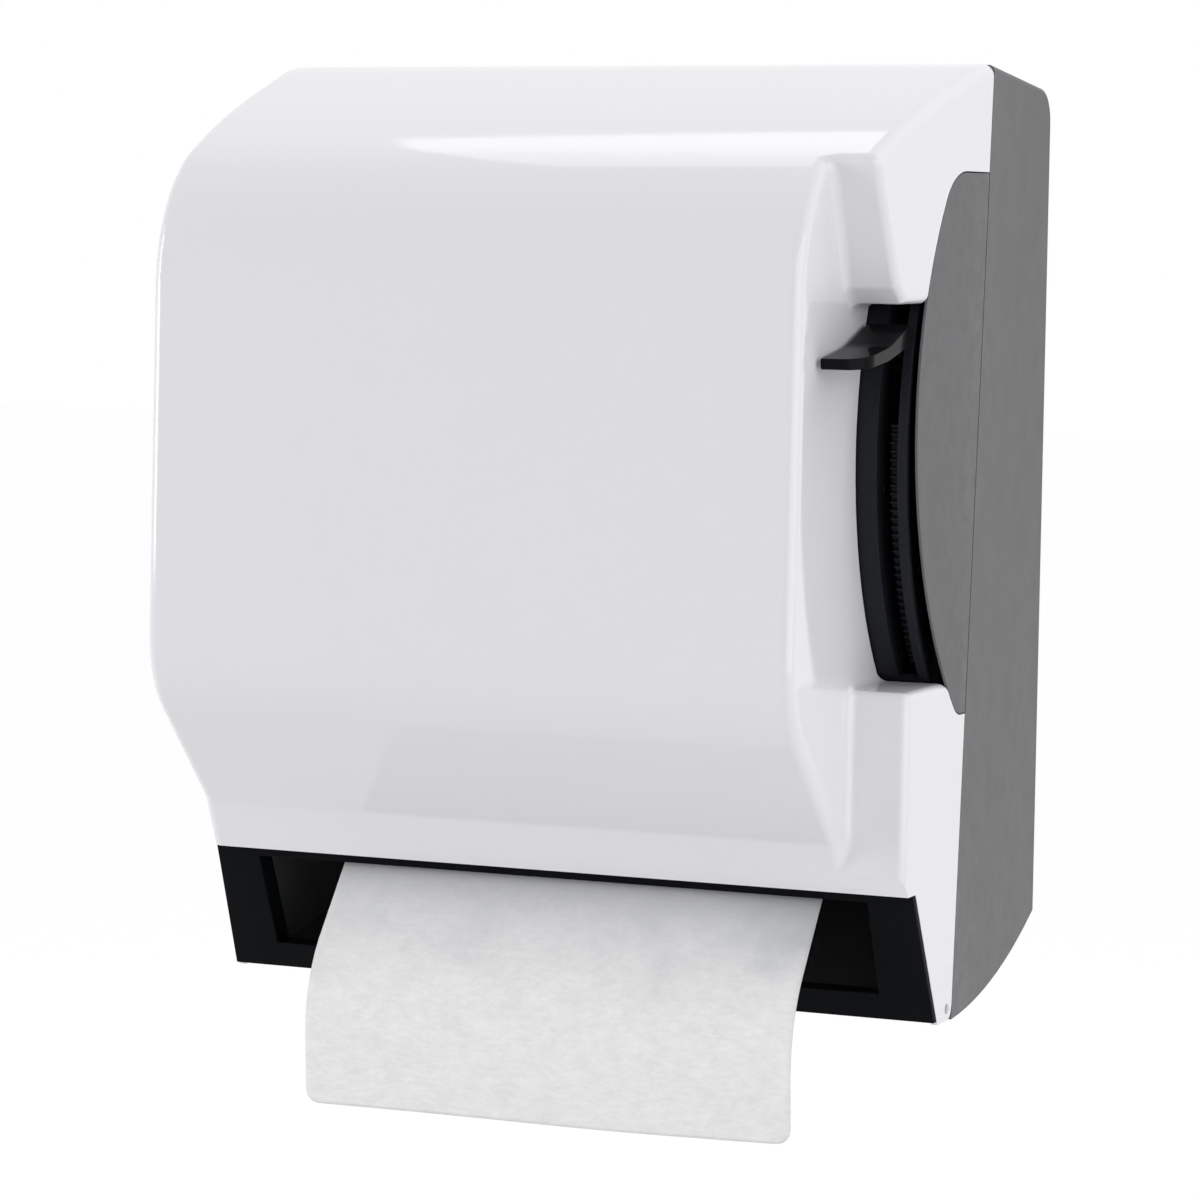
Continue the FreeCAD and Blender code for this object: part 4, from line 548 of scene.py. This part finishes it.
@dataclass(frozen=True)
class WoundPaper(Finish):
    """The roll: smooth wound outside, and rings of layers on both ends; lengths in metres, scales per metre."""

    end_from: float = 0.0989
    end_full: float = 0.0994
    ring: float = 1900.0
    band: float = 260.0
    crinkle: float = 520.0
    wobble_scale: float = 30.0
    wobble: float = 0.0012
    shade: float = 0.72
    shade_share: float = 0.45
    bump: float = 0.5
    depth: float = 0.00018

    def build(self) -> bpy.types.Material:
        """Makes the roll's material.

        Returns:
            The material.
        """
        material, g, shader, place = self.start()
        at = g.add("ShaderNodeMapping", {"Vector": place, "Location": (0.0, -ROLL_CENTRE[0], -ROLL_CENTRE[1])})
        along, depth, height = g.add("ShaderNodeSeparateXYZ", {0: at.outputs[0]}).outputs
        squares = g.maths("ADD", g.maths("POWER", depth, 2.0), g.maths("POWER", height, 2.0))
        radius = g.maths("SQRT", squares)
        wobble = g.maths("MULTIPLY", g.speckle(place, self.wobble_scale, 2.0), self.wobble)
        ring_place = g.add("ShaderNodeCombineXYZ", {0: g.maths("ADD", radius, wobble)}).outputs[0]
        rings = g.speckle(ring_place, self.ring, 3.0, 0.75)
        bands = g.speckle(ring_place, self.band, 2.0)
        end = g.ramp(g.maths("ABSOLUTE", along), self.end_from, self.end_full)
        crinkle = g.speckle(g.stretched(place, (0.35, 1.0, 1.0)), self.crinkle, 4.0, 0.65)
        # Sockets 0, 2 and 3 of a Mix node are its mask and its two values.
        pattern = g.add("ShaderNodeMix", {0: end, 2: crinkle, 3: g.total((rings, 0.7), (bands, 0.3))}).outputs[0]
        # darker where the relief is low: painted shade in the crinkles' hollows on the outside, and dark lines between
        # the wound layers on the ends
        dark = g.maths("MULTIPLY", g.ramp(pattern, 0.35, 0.65, 1.0, 0.0), self.shade_share)
        g.feed(shader.inputs["Base Color"], g.blend(dark, self.colour, tuple(self.shade * c for c in self.colour)))
        g.feed(shader.inputs["Roughness"], g.ramp(crinkle, 0.3, 0.7, 0.84, 0.96))
        g.relief(shader, pattern, self.bump, self.depth)
        shader.inputs["Specular IOR Level"].default_value = PAPER_SHINE
        return material


@dataclass(frozen=True)
class Board(Finish):
    """Spiral-wound grey-brown board of the roll's core; lengths in metres, scales per metre."""

    pitch: float = 0.055
    fibre: float = 900.0
    cloud: float = 80.0
    seam_share: float = 0.6
    lighter: float = 1.3
    darker: float = 0.5
    bump: float = 0.4
    depth: float = 0.0001

    def build(self) -> bpy.types.Material:
        """Makes the board's material.

        Returns:
            The material.
        """
        material, g, shader, place = self.start()
        fibres = g.speckle(g.stretched(place, (1.0, 0.25, 0.25)), self.fibre, 4.0, 0.7)
        clouds = g.speckle(place, self.cloud, 3.0)
        wound = g.add("ShaderNodeTexWave", {"Vector": place, "Scale": 1.0 / self.pitch / 3.0, "Distortion": 0.4},
                      bands_direction="X").outputs["Fac"]
        light, dark = (tuple(share * c for c in self.colour) for share in (self.lighter, self.darker))
        colour = g.blend(g.ramp(g.maths("ADD", fibres, clouds), 0.7, 1.3), self.colour, light)
        colour = g.blend(g.ramp(wound, 0.0, 0.06, self.seam_share, 0.0), colour, dark)
        g.feed(shader.inputs["Base Color"], colour)
        g.feed(shader.inputs["Roughness"], g.ramp(clouds, 0.3, 0.7, 0.78, 0.92))
        g.relief(shader, fibres, self.bump, self.depth)
        return material


class Stock:
    """The finishes of the whole dispenser, each made into one material when first used."""

    def __init__(self) -> None:
        """Lists the finishes by the record's slots."""
        for make in (moulded_grain, tone_drift, rubbed_edges, resting_dust, drawn_lines):
            make()
        white, grey, black = (0.775, 0.768, 0.8), (0.103, 0.105, 0.1085), (0.0122, 0.0135, 0.0175)
        self.finishes: dict[str, Finish] = {
            "white_shell": Moulding("white shell", white, roughness=0.06, roughness_spread=0.01, grain=420.0,
                                    depth=0.00001, bump=0.05, drift=0.012, fleck=0.004, rub=0.1,
                                    rubbed=(0.84, 0.84, 0.85), ior=1.5),
            "grey_shell": Moulding("grey shell", grey, roughness=0.56, roughness_spread=0.025, grain=1500.0,
                                   depth=0.00006, bump=0.5, drift=0.016, fleck=0.03, rub=0.2,
                                   rubbed=(0.3, 0.3, 0.305), dust=0.02),
            "black_plastic": Moulding("black plastic", black, roughness=0.4, grain=1300.0, depth=0.00003,
                                      bump=0.25, drift=0.06, rub=0.2, rubbed=(0.03, 0.03, 0.032), dust=0.01,
                                      shine=0.12),
            # painted shade: a darker copy of the black plastic for the window frame, which faces down below the cover's
            # chin
            "shaded_frame_black": Moulding("shaded frame black", (0.003, 0.0036, 0.0048), roughness=0.45, grain=1300.0,
                                    depth=0.00003, bump=0.2, drift=0.06, rub=0.15, rubbed=(0.02, 0.02, 0.022),
                                    shine=0.04),
            # the paddle's lighter rubbed edges are partly wear and partly a painted highlight along its edges
            "dark_paddle": Moulding("dark paddle", (0.006, 0.0065, 0.0075), roughness=0.14, roughness_spread=0.03,
                                    grain=1100.0, bump=0.06, drift=0.06, rub=0.15, rubbed=(0.06, 0.06, 0.063),
                                    shine=0.1, ior=1.22),
            "gear_plastic": Moulding("gear nylon", (0.035, 0.035, 0.037), roughness=0.46, grain=1200.0, bump=0.2,
                                     drift=0.08, rub=0.4, rubbed=(0.1, 0.1, 0.1), dust=0.03),
            "roller_plastic": Moulding("roller plastic", (0.3, 0.3, 0.31), roughness=0.5, grain=1200.0, bump=0.25,
                                       drift=0.06, rub=0.2, rubbed=(0.42, 0.42, 0.42)),
            "rubber": Moulding("feed rubber", (0.028, 0.028, 0.029), roughness=0.82, grain=2100.0, depth=0.00008,
                               bump=0.55, drift=0.1, fleck=0.12, rub=0.35, rubbed=(0.09, 0.088, 0.085), dust=0.12),
            "zinc_steel": Plating("zinc sheet", (0.56, 0.57, 0.585), roughness=0.36, lines=1100.0),
            "screw_steel": Plating("screw zinc", (0.5, 0.505, 0.51), roughness=0.3, lines=2600.0, spots=0.25),
            "blade_steel": Plating("cutter steel", (0.62, 0.62, 0.63), roughness=0.24, lines=1900.0, spots=0.12),
            "spring_steel": Plating("spring wire", (0.4, 0.4, 0.41), roughness=0.28, lines=2400.0, spots=0.2),
            "bronze": Plating("bush bronze", (0.45, 0.3, 0.13), roughness=0.38, lines=2000.0,
                              tarnish=(0.2, 0.13, 0.06)),
            "lock_metal": Plating("lock chrome", (0.72, 0.73, 0.74), roughness=0.14, lines=1500.0, bump=0.1,
                                  tarnish=(0.5, 0.5, 0.5), spots=0.12),
            "towel": Crepe("towel crepe", (0.885, 0.882, 0.876)),
            "wound_towel": WoundPaper("wound towel", (0.77, 0.77, 0.755)),
            "core_board": Board("core board", (0.36, 0.26, 0.16)),
        }
        self.made: dict[str, bpy.types.Material] = {}

    def material(self, slot: str) -> bpy.types.Material:
        """The material of a slot, made on first use.

        Args:
            slot: The finish's slot name.

        Returns:
            The material.
        """
        if slot not in self.made:
            self.made[slot] = self.finishes[slot].build()
        return self.made[slot]

    def dress(self, piece: bpy.types.Object, slot: str) -> None:
        """Gives a piece or a CAD node one material all over.

        Args:
            piece: The object to dress.
            slot: The finish's slot name.
        """
        material = self.material(slot)
        if not piece.material_slots:
            piece.data.materials.append(material)
        for place in piece.material_slots:
            place.material = material


# ---------------------------------------------------------------- shared building steps
def body_of(node: str) -> str:
    """The body that a CAD node moves with."""
    return frame["nodes"][node]["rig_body"]


def new_piece(name: str, mesh: bmesh.types.BMesh) -> bpy.types.Object:
    """Turns a bmesh into a smooth-shaded object at the origin.

    Args:
        name: The piece's name.
        mesh: The finished bmesh, which is freed.

    Returns:
        The new object.
    """
    data = bpy.data.meshes.new(name)
    mesh.to_mesh(data)
    mesh.free()
    data.shade_smooth()
    piece = bpy.data.objects.new(name, data)
    bpy.context.scene.collection.objects.link(piece)
    return piece


def merged_copy(node: str, flat_angle: float = 0.6) -> bmesh.types.BMesh:
    """Copy of a CAD node's mesh, merged, with its flat faces made whole.

    Args:
        node: The CAD node's name.
        flat_angle: Faces that differ by less than this many degrees become one.

    Returns:
        The merged bmesh.
    """
    mesh = bmesh.new()
    mesh.from_mesh(frame["nodes"][node].data)
    bmesh.ops.remove_doubles(mesh, verts=mesh.verts, dist=CAD_MERGE)
    bmesh.ops.dissolve_limit(mesh, angle_limit=math.radians(flat_angle), verts=mesh.verts, edges=mesh.edges,
                             use_dissolve_boundaries=False)
    return mesh


def soften(piece: bpy.types.Object, width: float, segments: int = 2, angle: float = 30.0) -> None:
    """Rounds a piece's sharp edges and evens its shading.

    Args:
        piece: The object to finish.
        width: Width of the rounding, in metres.
        segments: Facets in each rounding.
        angle: Edges sharper than this many degrees are rounded.
    """
    bevel = piece.modifiers.new("edge radius", "BEVEL")
    bevel.width = width
    bevel.segments = segments
    bevel.limit_method = "ANGLE"
    bevel.angle_limit = math.radians(angle)
    bevel.use_clamp_overlap = True
    bevel.miter_outer = "MITER_ARC"
    normals = piece.modifiers.new("even shading", "WEIGHTED_NORMAL")
    normals.keep_sharp = True
    normals.weight = 80


@dataclass
class Assembly:
    """A sub-assembly: CAD nodes that are only dressed, and nodes whose edges are softened too."""

    stock: Stock
    title: str = "assembly"
    plain: dict[str, str] = field(default_factory=dict)
    softened: dict[str, tuple[str, float]] = field(default_factory=dict)
    looks: dict[str, str] = field(default_factory=dict)
    pieces: list[str] = field(default_factory=list)

    def own(self, piece: bpy.types.Object, slot: str, *nodes: str, look: str | None = None) -> bpy.types.Object:
        """Dresses a new piece, mounts it on its body and lets it stand for its CAD nodes.

        Args:
            piece: The new object.
            slot: The record's material slot.
            nodes: CAD nodes that it stands for.
            look: Finish to use where it differs from the slot.

        Returns:
            The same object.
        """
        self.stock.dress(piece, look or slot)
        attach(piece, body_of(nodes[0]))
        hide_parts(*nodes)
        self.pieces.append(piece.name)
        return piece

    def soften_node(self, node: str, slot: str, width: float) -> bpy.types.Object:
        """Replaces a CAD node by a merged copy with rounded edges.

        Args:
            node: The CAD node.
            slot: Its finish.
            width: Width of the rounding, in metres.

        Returns:
            The new object.
        """
        piece = new_piece("soft_" + node, merged_copy(node))
        soften(piece, width)
        return self.own(piece, slot, node, look=self.looks.get(node))

    def build(self) -> None:
        """Dresses the plain nodes and softens the others."""
        for node, slot in self.plain.items():
            self.stock.dress(frame["nodes"][node], slot)
        for node, (slot, width) in self.softened.items():
            self.soften_node(node, slot, width)
        self.extra()

    def extra(self) -> None:
        """Adds what only this sub-assembly has."""


@dataclass
class Cover(Assembly):
    """Hinged front: white shell, black window frame and lock keeper."""

    title: str = "cover"
    plain: dict[str, str] = field(default_factory=lambda: {"lock_keeper": "zinc_steel", "keeper_screws": "screw_steel"})
    softened: dict[str, tuple[str, float]] = field(default_factory=lambda: {
        "front_cover": ("white_shell", 0.0006),
        "chin_frame": ("black_plastic", 0.0004),
    })
    # the window frame wears the darker copy of the black plastic, as painted shade
    looks: dict[str, str] = field(default_factory=lambda: {"chin_frame": "shaded_frame_black"})


@dataclass
class Casing(Assembly):
    """Rear casing with its plates, bars and fasteners; the rim's sizes are in metres."""

    title: str = "casing"
    plain: dict[str, str] = field(default_factory=lambda: {
        "hinge_pins": "screw_steel", "plate_screws": "screw_steel", "nose_screws": "screw_steel",
        "tear_bar_screws": "screw_steel", "guide_screws": "screw_steel", "tear_bar": "blade_steel",
        "hub_screws": "screw_steel",
    })
    softened: dict[str, tuple[str, float]] = field(default_factory=lambda: {
        "rear_casing": ("grey_shell", 0.0006),
        "right_side_plate": ("zinc_steel", 0.0003),
        "left_side_plate": ("zinc_steel", 0.0003),
        "nose_bar": ("black_plastic", 0.0005),
        "paper_chute": ("black_plastic", 0.0004),
    })
    rim_drop: float = 0.0007
    rim_depth: float = 0.0028
    rim_width: float = 0.001
    rim_level: float = 0.0001

    def extra(self) -> None:
        """Eases the casing's upper rim and its corners, so that they lie no higher than the cover's rounded edge."""
        shell = bpy.data.objects["soft_rear_casing"].data
        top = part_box("rear_casing")[1][2]
        front = min(v.co.y for v in shell.vertices if v.co.z > top - self.rim_level)
        for vert in shell.vertices:
            if vert.co.z > top - self.rim_depth and vert.co.y < front + self.rim_width:
                vert.co.z -= self.rim_drop


@dataclass
class LeverWorks(Assembly):
    """Lever, thumb paddle, curved guide and the gear sector."""

    title: str = "lever"
    plain: dict[str, str] = field(default_factory=lambda: {
        "lever_pivot_pin": "screw_steel", "lever_return_spring": "spring_steel", "lever_stop": "rubber",
        "stop_pin": "screw_steel", "sector_rivets": "screw_steel",
    })
    softened: dict[str, tuple[str, float]] = field(default_factory=lambda: {
        "lever_guide": ("black_plastic", 0.0004),
        "stroke_rack": ("black_plastic", 0.00015),
        "lever_arm": ("zinc_steel", 0.0003),
        "lever_paddle": ("dark_paddle", 0.0008),
        "sector_gear": ("gear_plastic", 0.0002),
    })


@dataclass
class FeedTrain(Assembly):
    """Gears, feed roller and pinch roller."""

    title: str = "feed"
    plain: dict[str, str] = field(default_factory=lambda: {
        "idler_axle": "screw_steel", "feed_shaft": "screw_steel", "feed_bushes": "bronze",
        "shaft_clips": "spring_steel", "pinch_axle": "screw_steel", "pinch_bushes": "bronze",
        "pinch_springs": "spring_steel",
    })
    softened: dict[str, tuple[str, float]] = field(default_factory=lambda: {
        "idler_gear": ("gear_plastic", 0.0002),
        "roller_gear": ("gear_plastic", 0.0002),
        "one_way_clutch": ("spring_steel", 0.0003),
        "feed_roller_core": ("roller_plastic", 0.0004),
        "feed_rubber_rings": ("rubber", 0.0006),
        "pinch_wheels": ("roller_plastic", 0.0005),
    })


@dataclass
class RollBay(Assembly):
    """Towel roll, its core and hubs, and the release arm; the roll's sizes are in metres."""

    title: str = "roll"
    plain: dict[str, str] = field(default_factory=lambda: {
        "release_pin": "screw_steel", "release_spring": "spring_steel", "roll_core": "core_board",
    })
    softened: dict[str, tuple[str, float]] = field(default_factory=lambda: {
        "roll_hub_right": ("roller_plastic", 0.0005),
        "roll_hub_left": ("roller_plastic", 0.0005),
        "release_arm": ("gear_plastic", 0.0005),
        "release_bracket": ("zinc_steel", 0.0003),
    })
    radius: float = 0.098
    length: float = 0.200
    core: float = 0.0215
    edge: float = 0.0008
    facets: int = 160
    merge: float = 0.00001
    crease: float = 35.0

    def extra(self) -> None:
        """Adds the wound roll."""
        mesh = bmesh.new()
        half = self.length / 2
        profile = [(half, self.core), (half, self.radius - self.edge), (half - self.edge, self.radius)]
        corners = [Vector((x, 0.0, r)) for x, r in profile + [(-x, r) for x, r in reversed(profile)]]
        rim = [mesh.verts.new(c) for c in corners]
        edges = [mesh.edges.new((a, b)) for a, b in zip(rim, rim[1:] + rim[:1])]
        bmesh.ops.spin(mesh, geom=rim + edges, cent=(0, 0, 0), axis=(1, 0, 0), angle=math.tau, steps=self.facets,
                       use_merge=True)
        bmesh.ops.remove_doubles(mesh, verts=mesh.verts, dist=self.merge)
        bmesh.ops.recalc_face_normals(mesh, faces=mesh.faces)
        bmesh.ops.translate(mesh, vec=(0.0, *ROLL_CENTRE), verts=mesh.verts)
        piece = new_piece("wound_roll", mesh)
        piece.data.set_sharp_from_angle(angle=math.radians(self.crease))
        self.own(piece, "towel", "paper_roll", look="wound_towel")


@dataclass
class LockSet(Assembly):
    """Lock in the casing's top."""

    title: str = "lock"
    plain: dict[str, str] = field(default_factory=lambda: {"lock_nut": "screw_steel", "lock_cam": "zinc_steel"})
    softened: dict[str, tuple[str, float]] = field(default_factory=lambda: {
        "lock_barrel": ("lock_metal", 0.0003),
        "lock_plug": ("lock_metal", 0.00025),
    })


@dataclass
class LeadingTowel(Assembly):
    """Towel from the rollers' nip over the chute, hanging out of the window; sizes in metres.

    The sheet runs from start to bend, rounds the bend and drops to the foot. It wanders by shift and skew towards the
    lever's side, and its free part ripples.
    """

    title: str = "towel"
    width: float = 0.200
    start: tuple[float, float] = (-0.05286, -0.02207)
    bend: tuple[float, float] = (-0.196, -0.17577)
    foot: float = -0.2225
    bend_radius: float = 0.055
    across: int = 110
    along: int = 150
    corner: float = 0.0055
    thickness: float = 0.00035
    shift: float = 0.0065
    skew: float = 0.012
    free_from: float = 0.165
    free_run: float = 0.09
    slow_ripple: float = 0.0022
    fine_ripple: float = 0.00035
    wave: float = 0.0012

    def line(self) -> tuple[float, float, float]:
        """Measures the sheet's path.

        Returns:
            Lengths of the straight run, the bend and the drop.
        """
        (y0, z0), (y1, z1) = self.start, self.bend
        slope = math.atan2(z1 - z0, y1 - y0)
        turn = abs(slope + math.pi / 2)
        cut = self.bend_radius * math.tan(turn / 2)
        run = math.hypot(y1 - y0, z1 - z0) - cut
        return run, self.bend_radius * turn, (z1 - self.foot) - cut

    def flat_length(self) -> float:
        """The sheet's length before it was bent."""
        return sum(self.line())

    def place(self, s: float) -> tuple[float, float, float]:
        """Where a point lies along the sheet.

        Args:
            s: Distance from the nip along the sheet.

        Returns:
            Depth, height and the sheet's direction there, as an angle.
        """
        (y0, z0), (y1, z1) = self.start, self.bend
        slope = math.atan2(z1 - z0, y1 - y0)
        run, arc, _ = self.line()
        if s <= run:
            return y0 + s * math.cos(slope), z0 + s * math.sin(slope), slope
        ya, za = y0 + run * math.cos(slope), z0 + run * math.sin(slope)
        sense = 1 if slope < -math.pi / 2 else -1
        yc, zc = ya - sense * self.bend_radius * math.sin(slope), za + sense * self.bend_radius * math.cos(slope)
        t = min(s - run, arc) / self.bend_radius * sense
        y = yc + sense * self.bend_radius * math.sin(slope + t)
        z = zc - sense * self.bend_radius * math.cos(slope + t)
        rest = max(0.0, s - run - arc)
        return y, z - rest, slope + t

    def ripple(self, u: float, s: float) -> float:
        """How far the hanging part stands off its flat line.

        Args:
            u: Place across the sheet, in metres from its middle.
            s: Distance from the nip along the sheet.

        Returns:
            The offset, in metres, along the sheet's normal.
        """
        free = max(0.0, min(1.0, (s - self.free_from) / self.free_run))
        slow = self.slow_ripple * noise.noise(Vector((u * 9.0, s * 7.0, 3.1)))
        fine = self.fine_ripple * noise.noise(Vector((u * 42.0, s * 30.0, 9.7)))
        return free * free * (slow + fine + self.wave * math.sin(u * 31.0 + 0.8))

    def extra(self) -> None:
        """Builds the sheet and its map in metres."""
        mesh = bmesh.new()
        layer = mesh.loops.layers.uv.new("sheet")
        bmesh.ops.create_grid(mesh, x_segments=self.across, y_segments=self.along, size=1.0)
        length = self.flat_length()
        flat: dict[bmesh.types.BMVert, tuple[float, float]] = {}
        for vert in mesh.verts:
            u, s = vert.co.x * self.width / 2, (1 - vert.co.y) / 2 * length
            flat[vert] = self.rounded(u, s, length)
        for face in mesh.faces:
            for loop in face.loops:
                loop[layer].uv = flat[loop.vert]
        for vert, (u, s) in flat.items():
            y, z, lean = self.place(s - u * self.skew)
            off = self.ripple(u, s)
            vert.co = Vector((u + self.stray(s), y - off * abs(math.sin(lean)), z + off * math.cos(lean)))
        bmesh.ops.recalc_face_normals(mesh, faces=mesh.faces)
        piece = new_piece("hanging_towel", mesh)
        wall = piece.modifiers.new("ply", "SOLIDIFY")
        wall.thickness = self.thickness
        wall.offset = 0.0
        self.own(piece, "towel", "towel_sheet")

    def stray(self, s: float) -> float:
        """How far the sheet has wandered to the lever's side, from nothing at the nip."""
        share = min(1.0, s / (0.55 * self.flat_length()))
        return self.shift * share * share * (3 - 2 * share) + self.skew * s

    def rounded(self, u: float, s: float, length: float) -> tuple[float, float]:
        """Pulls the free corners in to a small radius.

        Args:
            u: Place across the sheet.
            s: Place along the sheet.
            length: The sheet's length.

        Returns:
            The new place across and along.
        """
        du, ds = abs(u) - (self.width / 2 - self.corner), s - (length - self.corner)
        if du > 0 and ds > 0:
            reach = math.hypot(du, ds)
            limit = max(du, ds)
            u = math.copysign(self.width / 2 - self.corner + du * limit / reach, u)
            s = length - self.corner + ds * limit / reach
        return u, s


# ---------------------------------------------------------------- studio
@dataclass(frozen=True)
class Softbox:
    """A rectangular lamp: sizes in metres, power in watts, spin about its own axis in degrees."""

    name: str
    place: tuple[float, float, float]
    aim: tuple[float, float, float]
    size: tuple[float, float]
    power: float
    mirrored: bool = True
    spin: float = 0.0

    def hang(self) -> None:
        """Adds the lamp to the scene."""
        lamp = bpy.data.lights.new(self.name, "AREA")
        lamp.shape = "RECTANGLE"
        lamp.size, lamp.size_y = self.size
        lamp.energy = self.power
        holder = bpy.data.objects.new(self.name, lamp)
        bpy.context.scene.collection.objects.link(holder)
        holder.location = self.place
        holder.visible_glossy = self.mirrored
        way = Vector(self.aim) - Vector(self.place)
        turned = way.to_track_quat("-Z", "Y") @ Quaternion((0.0, 0.0, 1.0), math.radians(self.spin))
        holder.rotation_euler = turned.to_euler()


@dataclass
class Studio:
    """Floor, pale surroundings, lamps and camera.

    The camera's turn, lift and roll are in radians, and its lens and sensor in millimetres. The fill is the strength
    of the surroundings as light; to the camera and in mirrors they are white.
    """

    eye: tuple[float, float, float] = (0.5504619, -1.5352623, 0.1189174)
    turn: float = 0.36991965
    lift: float = 0.09653139
    roll: float = 0.01160181
    lens: float = 115.26265
    sensor: float = 36.0
    near: float = 0.05
    floor_height: float = -0.62
    floor_reach: float = 12.0
    floor_paint: Colour = (0.82, 0.82, 0.82)
    floor_roughness: float = 0.9
    floor_glow: float = 1.045
    floor_share: float = 0.9
    fill: float = 0.52
    lamps: tuple[Softbox, ...] = (
        Softbox("top softbox", (0.55, 0.75, 1.7), (0.0, -0.15, 0.15), (2.2, 1.9), 20.5, mirrored=False),
        Softbox("side softbox", (1.9, -1.1, 0.4), (0.0, -0.1, 0.0), (2.3, 1.6), 18.5),
        Softbox("rear softbox", (-0.545, 0.68, 1.6), (-0.545, -0.2, 0.15), (0.45, 0.9), 1.25, spin=9.0),
        Softbox("left softbox", (-2.1, -1.1, 0.5), (0.0, -0.1, 0.0), (1.0, 1.3), 23.5),
    )

    def build(self) -> None:
        """Sets up the whole studio."""
        self.add_floor()
        self.add_world()
        for lamp in self.lamps:
            lamp.hang()
        self.add_camera()
        bpy.context.scene.view_settings.view_transform = "Standard"

    def add_floor(self) -> None:
        """Lays the pale floor, which looks almost white to the camera and in mirrors."""
        mesh = bmesh.new()
        bmesh.ops.create_grid(mesh, x_segments=1, y_segments=1, size=self.floor_reach)
        bmesh.ops.translate(mesh, vec=(0.0, 0.0, self.floor_height), verts=mesh.verts)
        floor = new_piece("studio_floor", mesh)
        material = bpy.data.materials.new("floor paint")
        material.use_nodes = True
        g = Graph(material.node_tree)
        coat = {"Base Color": self.floor_paint, "Roughness": self.floor_roughness}
        paint = g.add("ShaderNodeBsdfPrincipled", coat)
        glow = g.add("ShaderNodeEmission", {"Color": (1.0, 1.0, 1.0), "Strength": self.floor_glow})
        rays = g.add("ShaderNodeLightPath").outputs
        seen = g.maths("ADD", rays["Is Camera Ray"], rays["Is Glossy Ray"], clamp=True)
        share = g.maths("MULTIPLY", seen, self.floor_share)
        mixed = g.add("ShaderNodeMixShader", {0: share, 1: paint.outputs[0], 2: glow.outputs[0]})
        g.add("ShaderNodeOutputMaterial", {"Surface": mixed.outputs[0]})
        floor.data.materials.append(material)

    def add_world(self) -> None:
        """Pale surroundings: white to the camera and in mirrors, softer as light."""
        world = bpy.data.worlds.new("studio air")
        bpy.context.scene.world = world
        world.use_nodes = True
        g = Graph(world.node_tree)
        rays = g.add("ShaderNodeLightPath").outputs
        seen = g.maths("ADD", rays["Is Camera Ray"], rays["Is Transmission Ray"], clamp=True)
        seen = g.maths("ADD", seen, rays["Is Glossy Ray"], clamp=True)
        level = g.ramp(seen, 0.0, 1.0, self.fill, 1.0)
        air = g.add("ShaderNodeBackground", {"Color": (1.0, 1.0, 1.0), "Strength": level})
        g.add("ShaderNodeOutputWorld", {"Surface": air.outputs[0]})

    def add_camera(self) -> None:
        """Stands the camera and makes it the scene's own."""
        back = Vector((math.sin(self.turn) * math.cos(self.lift), -math.cos(self.turn) * math.cos(self.lift),
                       math.sin(self.lift)))
        right = Vector((math.cos(self.turn), math.sin(self.turn), 0.0))
        up = back.cross(right)
        c, s = math.cos(self.roll), math.sin(self.roll)
        right, up = c * right + s * up, c * up - s * right
        view = bpy.data.cameras.new("viewpoint")
        view.lens = self.lens
        view.sensor_width = self.sensor
        view.clip_start = self.near
        camera = bpy.data.objects.new("viewpoint", view)
        bpy.context.scene.collection.objects.link(camera)
        turned = Matrix((right, up, back)).transposed()
        camera.matrix_world = Matrix.Translation(Vector(self.eye)) @ turned.to_4x4()
        bpy.context.scene.camera = camera


def main() -> None:
    """Builds every sub-assembly in order and reports its pieces."""
    logging.basicConfig(level=logging.INFO, format="%(name)s: %(message)s")
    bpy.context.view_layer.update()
    Studio().build()
    stock = Stock()
    for kind in (Casing, Cover, LeverWorks, FeedTrain, RollBay, LockSet, LeadingTowel):
        assembly = kind(stock)
        assembly.build()
        LOG.info("%s: dressed %s; built %s", assembly.title, ", ".join(assembly.plain), ", ".join(assembly.pieces))


if __name__ == "__main__":
    main()
